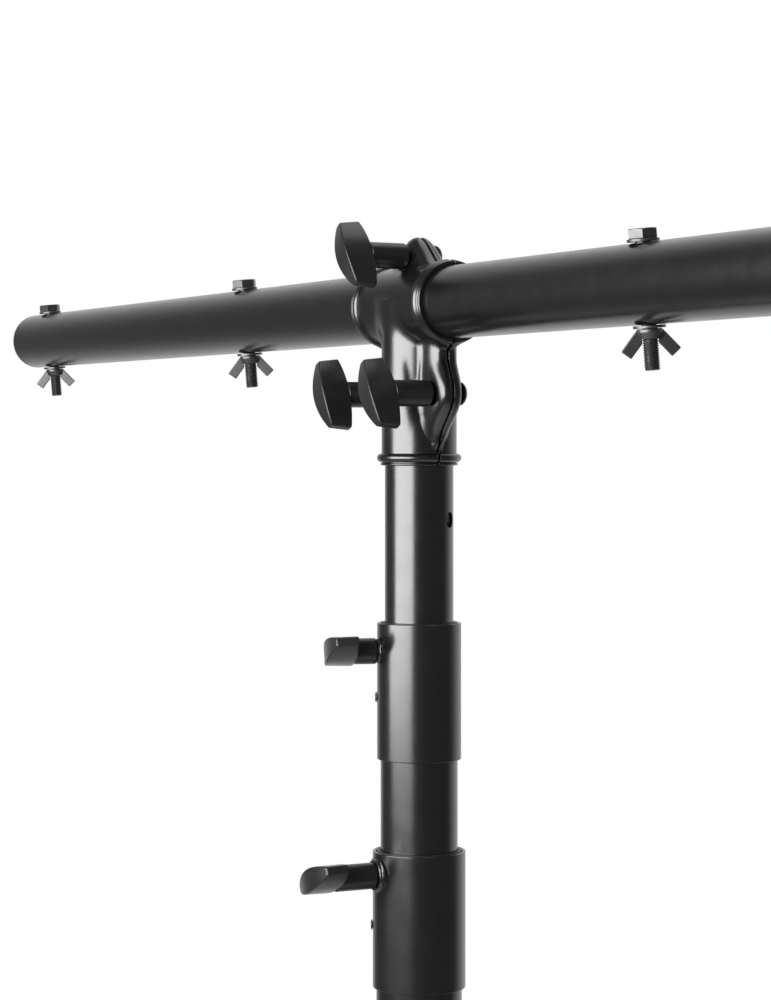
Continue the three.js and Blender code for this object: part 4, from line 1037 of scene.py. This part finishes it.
FOOT_WALL = 3.5
FOOT_GRIP = 46.0
FOOT_PROUD = 38.0
FOOT_ROUND = 9.0
FOOT_ROUND_STEPS = 10
FOOT_EDGE = 3.0
FOOT_SOLE_EDGE = 0.6
FOOT_SOLE_ANGLE = 40
GROOVE_COUNT = 4
GROOVE_START = 8.0
GROOVE_PITCH = 9.0
GROOVE_WIDTH = 2.5
GROOVE_DEPTH = 1.0
GROOVE_LEAD = 1.0
GROOVE_TAIL = 1.5
GROOVE_ROUND = 2.5
END_STEPS = 16


def upright(piece):
    """From a flat outline's own plane to the XZ plane."""
    return moved(piece, turn(math.pi / 2, "X"))


def across_rod(name, radius, low, high, edge=0.0):
    """A round bar along Y."""
    return upright(rod(name, radius, -high, -low, SCREW_SIDES, edge))


def pin_hole():
    return across_rod("hole", PIN_RADIUS + SEAT_GAP, -LEG_WIDTH, LEG_WIDTH)


def rounded_end(length, half, start):
    """A bar's outline along +X, with a round far end."""
    return arc((length, 0), half, -math.pi / 2, math.pi / 2, END_STEPS) + [(start, half), (start, -half)]


def azimuth_turn(index):
    return turn(index * 2 * math.pi / LEG_COUNT, "Z")


def tilt(slope, height):
    return shift(PIVOT_RADIUS, 0, height) @ turn(slope, "Y")


def make_leg(index):
    """A square tube, round at its pivot and hollow from its far end."""
    half = LEG_DEPTH / 2
    outline = arc((0, 0), half, math.pi / 2, 3 * math.pi / 2, LEG_END_STEPS)
    outline += [(LEG_LENGTH, -half), (LEG_LENGTH, half)]
    leg = upright(extruded(f"leg_{index + 1}_fine", outline, -LEG_WIDTH / 2, LEG_WIDTH / 2))
    bevelled(leg, LEG_ROUND, WIDE_EDGE_STEPS)
    inner = LEG_WIDTH / 2 - LEG_WALL
    depth = half - LEG_WALL
    cut(leg, box("hollow", (half + LEG_WALL, -inner, -depth), (LEG_LENGTH + OVERRUN, inner, depth)))
    cut(leg, pin_hole())
    cut(leg, moved(pin_hole(), shift(BRACE_LENGTH, 0, 0)))
    place = azimuth_turn(index) @ tilt(math.pi / 2 - LEG_SPREAD, COLLAR_PIVOT)
    finished(moved(leg, place), f"leg_{index + 1}")


def make_foot(index):
    """A rubber boot with four grooves round it, cut off level at the floor."""
    half = LEG_DEPTH / 2 + FOOT_WALL
    width = LEG_WIDTH / 2 + FOOT_WALL
    start = LEG_LENGTH - FOOT_GRIP
    end = LEG_LENGTH + FOOT_PROUD
    outline = [(start, -half), (end, -half)]
    outline += arc((end - FOOT_ROUND, half - FOOT_ROUND), FOOT_ROUND, 0, math.pi / 2, FOOT_ROUND_STEPS)
    outline += [(start, half)]
    boot = upright(extruded(f"foot_{index + 1}_fine", outline, -width, width))
    bevelled(boot, FOOT_EDGE, WIDE_EDGE_STEPS)
    for step in range(GROOVE_COUNT):
        low = LEG_LENGTH - GROOVE_START - step * GROOVE_PITCH
        high = low + GROOVE_WIDTH
        across, up = width + OVERRUN, half + OVERRUN
        band = box("groove", (low, -across, -up), (high, across, up))
        across, up = width - GROOVE_DEPTH, half - GROOVE_DEPTH
        core = box("core", (low - GROOVE_LEAD, -across, -up), (high + GROOVE_TAIL, across, up))
        cut(band, bevelled(core, GROOVE_ROUND))
        cut(boot, band)
    across, up = LEG_WIDTH / 2 + SEAT_GAP, LEG_DEPTH / 2 + SEAT_GAP
    cut(boot, box("socket", (start - OVERRUN, -across, -up), (LEG_LENGTH + SEAT_GAP, across, up)))
    moved(boot, tilt(math.pi / 2 - LEG_SPREAD, COLLAR_PIVOT))
    cut(boot, box("floor", (0, -LEG_LENGTH, -LEG_LENGTH), (2 * LEG_LENGTH, LEG_LENGTH, 0)))
    bevelled(boot, FOOT_SOLE_EDGE, FINE_EDGE_STEPS, FOOT_SOLE_ANGLE)
    finished(moved(boot, azimuth_turn(index)), f"foot_{index + 1}")


def make_brace(index):
    """Two flat bars on the swaged rivets at their ends."""
    outer = BRACE_INNER + BRACE_BAR
    brace = across_rod(f"brace_{index + 1}_fine", PIN_RADIUS, -outer, outer)
    outline = arc((BRACE_LENGTH, 0), BRACE_WIDTH / 2, -math.pi / 2, math.pi / 2, END_STEPS)
    outline += arc((0, 0), BRACE_WIDTH / 2, math.pi / 2, 3 * math.pi / 2, END_STEPS)
    for side in (-1, 1):
        low, high = sorted((side * BRACE_INNER, side * outer))
        bar = upright(extruded("bar", outline, -high, -low))
        join(brace, bevelled(bar, BRACE_EDGE))
        low, high = sorted((side * (BRACE_INNER + BRACE_BAR / 2), side * (outer + BUTTON_HEIGHT)))
        for place in (0, BRACE_LENGTH):
            button = across_rod("button", BUTTON_RADIUS, low, high, BUTTON_ROUND)
            join(brace, moved(button, shift(place, 0, 0)))
    place = azimuth_turn(index) @ tilt(LEG_SPREAD - math.pi / 2, HUB_PIVOT)
    finished(moved(brace, place), f"brace_{index + 1}")


def make_leg_pin(index):
    """A leg's pivot pin, with a head outside each of the collar's ears."""
    side = COLLAR_EAR_LOW + COLLAR_EAR + SEAT_GAP
    head = side + PIN_HEAD_HEIGHT
    outline = [(0, -head), (PIN_HEAD_RADIUS, -head), (PIN_HEAD_RADIUS, -side), (PIN_RADIUS, -side),
               (PIN_RADIUS, side), (PIN_HEAD_RADIUS, side), (PIN_HEAD_RADIUS, head), (0, head)]
    pin = upright(turned(f"leg_pin_{index + 1}_fine", softened(outline, PIN_ROUND), SCREW_SIDES))
    place = azimuth_turn(index) @ shift(PIVOT_RADIUS, 0, COLLAR_PIVOT)
    finished(moved(pin, place), f"leg_pin_{index + 1}")


def make_leg_collar():
    low, high = COLLAR_LOW.z - COLLAR_PIVOT, COLLAR_HIGH.z - COLLAR_PIVOT
    collar = rod("leg_collar_fine", COLLAR_RADIUS, low, high, TURN_SIDES, TURNED_ROUND)
    outline = rounded_end(PIVOT_RADIUS, COLLAR_EAR_RADIUS, COLLAR_BORE + LUG_ROOT)
    for index in range(LEG_COUNT):
        for side in (-1, 1):
            ear_low, ear_high = sorted((side * COLLAR_EAR_LOW, side * (COLLAR_EAR_LOW + COLLAR_EAR)))
            ear = upright(extruded("ear", outline, -ear_high, -ear_low))
            join(collar, moved(bevelled(ear, COLLAR_EDGE), azimuth_turn(index)))
    boss_end = COLLAR_RADIUS + LOCKS[1]["boss"]
    boss = rod("boss", LOCKS[1]["boss_radius"], COLLAR_BOSS_LOW, boss_end, SMALL_SIDES, COLLAR_EDGE)
    join(collar, moved(boss, radial_frame(COLLAR_KNOB_AZIMUTH, 0, 0)))
    cut(collar, rod("bore", COLLAR_BORE, low - OVERRUN, high + OVERRUN, TURN_SIDES))
    for index in range(LEG_COUNT):
        cut(collar, moved(pin_hole(), azimuth_turn(index) @ shift(PIVOT_RADIUS, 0, 0)))
    hole = rod("hole", STUD_RADIUS + SEAT_GAP, 0, boss_end + OVERRUN, SCREW_SIDES)
    cut(collar, moved(hole, radial_frame(COLLAR_KNOB_AZIMUTH, 0, 0)))
    finished(moved(collar, shift(0, 0, COLLAR_PIVOT)), "leg_collar")
    knob_frame = radial_frame(COLLAR_KNOB_AZIMUTH, math.pi / 2, COLLAR_PIVOT)
    add_lock_knob("collar", knob_frame, BASE_RADIUS + SEAT_GAP, boss_end + SEAT_GAP, COLLAR_HUB_LENGTH)


def make_base_hub():
    hub = rod("base_hub_fine", BASE_HUB_RADIUS, HUB_LOW.z, HUB_HIGH.z, TURN_SIDES, TURNED_ROUND)
    lug_half = BRACE_INNER - SEAT_GAP
    outline = rounded_end(PIVOT_RADIUS, LUG_RADIUS, HUB_BORE + LUG_ROOT)
    for index in range(LEG_COUNT):
        lug = upright(extruded("lug", outline, -lug_half, lug_half))
        join(hub, moved(bevelled(lug, LUG_EDGE), azimuth_turn(index) @ shift(0, 0, HUB_PIVOT)))
        cut(hub, moved(pin_hole(), azimuth_turn(index) @ shift(PIVOT_RADIUS, 0, HUB_PIVOT)))
    cut(hub, rod("bore", HUB_BORE, HUB_LOW.z + HUB_FLOOR, HUB_HIGH.z + OVERRUN, TURN_SIDES))
    finished(hub, "base_hub")


def make_inner_pieces():
    """The pieces that the tubes hide keep their CAD meshes."""
    for node in ("top_tube_guide", "second_tube_guide", "upper_pressure_shoe", "lower_pressure_shoe"):
        coat(frame["nodes"][node].data, node)


# Camera, light and background

CAMERA_PLACE = (1567.5, -872.7, BAR_AXIS - 94.7)
CAMERA_LOOK = (-0.8800, 0.4749, 0.0)
CAMERA_LENS = 92.16
CAMERA_SENSOR = 36.0
CAMERA_DROP = -0.0597
CAMERA_REACH = 100.0
WHITE_WAY = (-0.70, 0.71, 0.06)
WHITE_FADE = (0.4, 0.85)
WHITE_LEVEL = 0.95
DIM_LEVEL = 0.12
SOFT_LEVEL = 0.4
PANEL_PLACE = (0.31, -1.5, 1.64)
PANEL_TARGET = (0.31, 0, 1.64)
PANEL_SIZE = (2.04, 1.08)
PANEL_POWER = 61.0
OVERHEAD_PLACE = (-0.3, 0.4, 3.6)
OVERHEAD_TARGET = (0, 0, 1.4)
OVERHEAD_SIZE = (1.6, 1.6)
OVERHEAD_POWER = 12.0
FLOOR_COLOUR = (0.8, 0.8, 0.8)
FLOOR_ROUGHNESS = 0.7
FLOOR_REACH = 2000.0
FLOOR_DEPTH = 20.0
FLOOR_GAP = 0.5
FLOOR_FADE = (0.75, 1.9)


def add_camera():
    data = bpy.data.cameras.new("camera")
    data.lens = CAMERA_LENS
    data.sensor_width = CAMERA_SENSOR
    data.sensor_fit = "AUTO"
    data.shift_y = CAMERA_DROP
    data.clip_end = CAMERA_REACH
    camera = added("camera", data)
    camera.location = Vector(CAMERA_PLACE) * MM
    camera.rotation_euler = Vector(CAMERA_LOOK).to_track_quat("-Z", "Y").to_euler()
    bpy.context.scene.camera = camera


def add_lamp(name, place, target, size, power):
    data = bpy.data.lights.new(name, "AREA")
    data.shape = "RECTANGLE"
    data.size, data.size_y = size
    data.energy = power
    lamp = added(name, data)
    lamp.location = place
    lamp.rotation_euler = (Vector(target) - Vector(place)).to_track_quat("-Z", "Y").to_euler()
    lamp.visible_camera = False


def add_light():
    """A studio that is white round one side and dim round the other, with a wide panel in front."""
    world = bpy.data.worlds.new("studio")
    bpy.context.scene.world = world
    world.use_nodes = True
    tree = world.node_tree
    tree.nodes.clear()
    output = tree.nodes.new("ShaderNodeOutputWorld")
    seen, lit = (tree.nodes.new("ShaderNodeBackground") for _ in range(2))
    for plain in (seen, lit):
        plain.inputs["Color"].default_value = (1, 1, 1, 1)
    way = tree.nodes.new("ShaderNodeTexCoord")
    along = tree.nodes.new("ShaderNodeVectorMath")
    along.operation = "DOT_PRODUCT"
    along.inputs[1].default_value = WHITE_WAY
    fade = map_range(tree, along.outputs["Value"], WHITE_FADE, (DIM_LEVEL, WHITE_LEVEL))
    path = tree.nodes.new("ShaderNodeLightPath")
    mirrored = tree.nodes.new("ShaderNodeMath")
    mirrored.operation = "MAXIMUM"
    level = tree.nodes.new("ShaderNodeMix")
    level.inputs["A"].default_value = SOFT_LEVEL
    pick = tree.nodes.new("ShaderNodeMixShader")
    tree.links.new(way.outputs["Generated"], along.inputs[0])
    tree.links.new(path.outputs["Is Glossy Ray"], mirrored.inputs[0])
    tree.links.new(path.outputs["Is Transmission Ray"], mirrored.inputs[1])
    tree.links.new(mirrored.outputs["Value"], level.inputs["Factor"])
    tree.links.new(fade, level.inputs["B"])
    tree.links.new(level.outputs["Result"], lit.inputs["Strength"])
    tree.links.new(path.outputs["Is Camera Ray"], pick.inputs["Fac"])
    tree.links.new(lit.outputs["Background"], pick.inputs[1])
    tree.links.new(seen.outputs["Background"], pick.inputs[2])
    tree.links.new(pick.outputs["Shader"], output.inputs["Surface"])
    add_lamp("front_panel", PANEL_PLACE, PANEL_TARGET, PANEL_SIZE, PANEL_POWER)
    add_lamp("overhead", OVERHEAD_PLACE, OVERHEAD_TARGET, OVERHEAD_SIZE, OVERHEAD_POWER)


def add_floor():
    """A pale floor that fades out into the white round it."""
    low = (-FLOOR_REACH, -FLOOR_REACH, -FLOOR_DEPTH - FLOOR_GAP)
    floor = box("floor", low, (FLOOR_REACH, FLOOR_REACH, -FLOOR_GAP))
    made, tree, shader = material("floor", FLOOR_COLOUR, FLOOR_ROUGHNESS)
    place = tree.nodes.new("ShaderNodeTexCoord")
    reach = tree.nodes.new("ShaderNodeVectorMath")
    reach.operation = "LENGTH"
    fade = map_range(tree, reach.outputs["Value"], FLOOR_FADE)
    clear = tree.nodes.new("ShaderNodeBsdfTransparent")
    pick = tree.nodes.new("ShaderNodeMixShader")
    tree.links.new(place.outputs["Object"], reach.inputs[0])
    tree.links.new(fade, pick.inputs["Fac"])
    tree.links.new(shader.outputs["BSDF"], pick.inputs[1])
    tree.links.new(clear.outputs["BSDF"], pick.inputs[2])
    tree.links.new(pick.outputs["Shader"], tree.nodes["Material Output"].inputs["Surface"])
    floor.data.materials.append(made)


make_crossbar()
make_fasteners()
make_clamp()
make_clamp_bolts()
make_top_tube()
make_locked_tube(LOCKS[0], "second_tube")
make_locked_tube(LOCKS[1], "base_tube")
for lock in LOCKS:
    make_lock(lock)
for leg_index in range(LEG_COUNT):
    make_leg(leg_index)
    make_foot(leg_index)
    make_brace(leg_index)
    make_leg_pin(leg_index)
make_leg_collar()
make_base_hub()
make_inner_pieces()
add_camera()
add_light()
add_floor()
bpy.context.scene.view_settings.view_transform = "Standard"
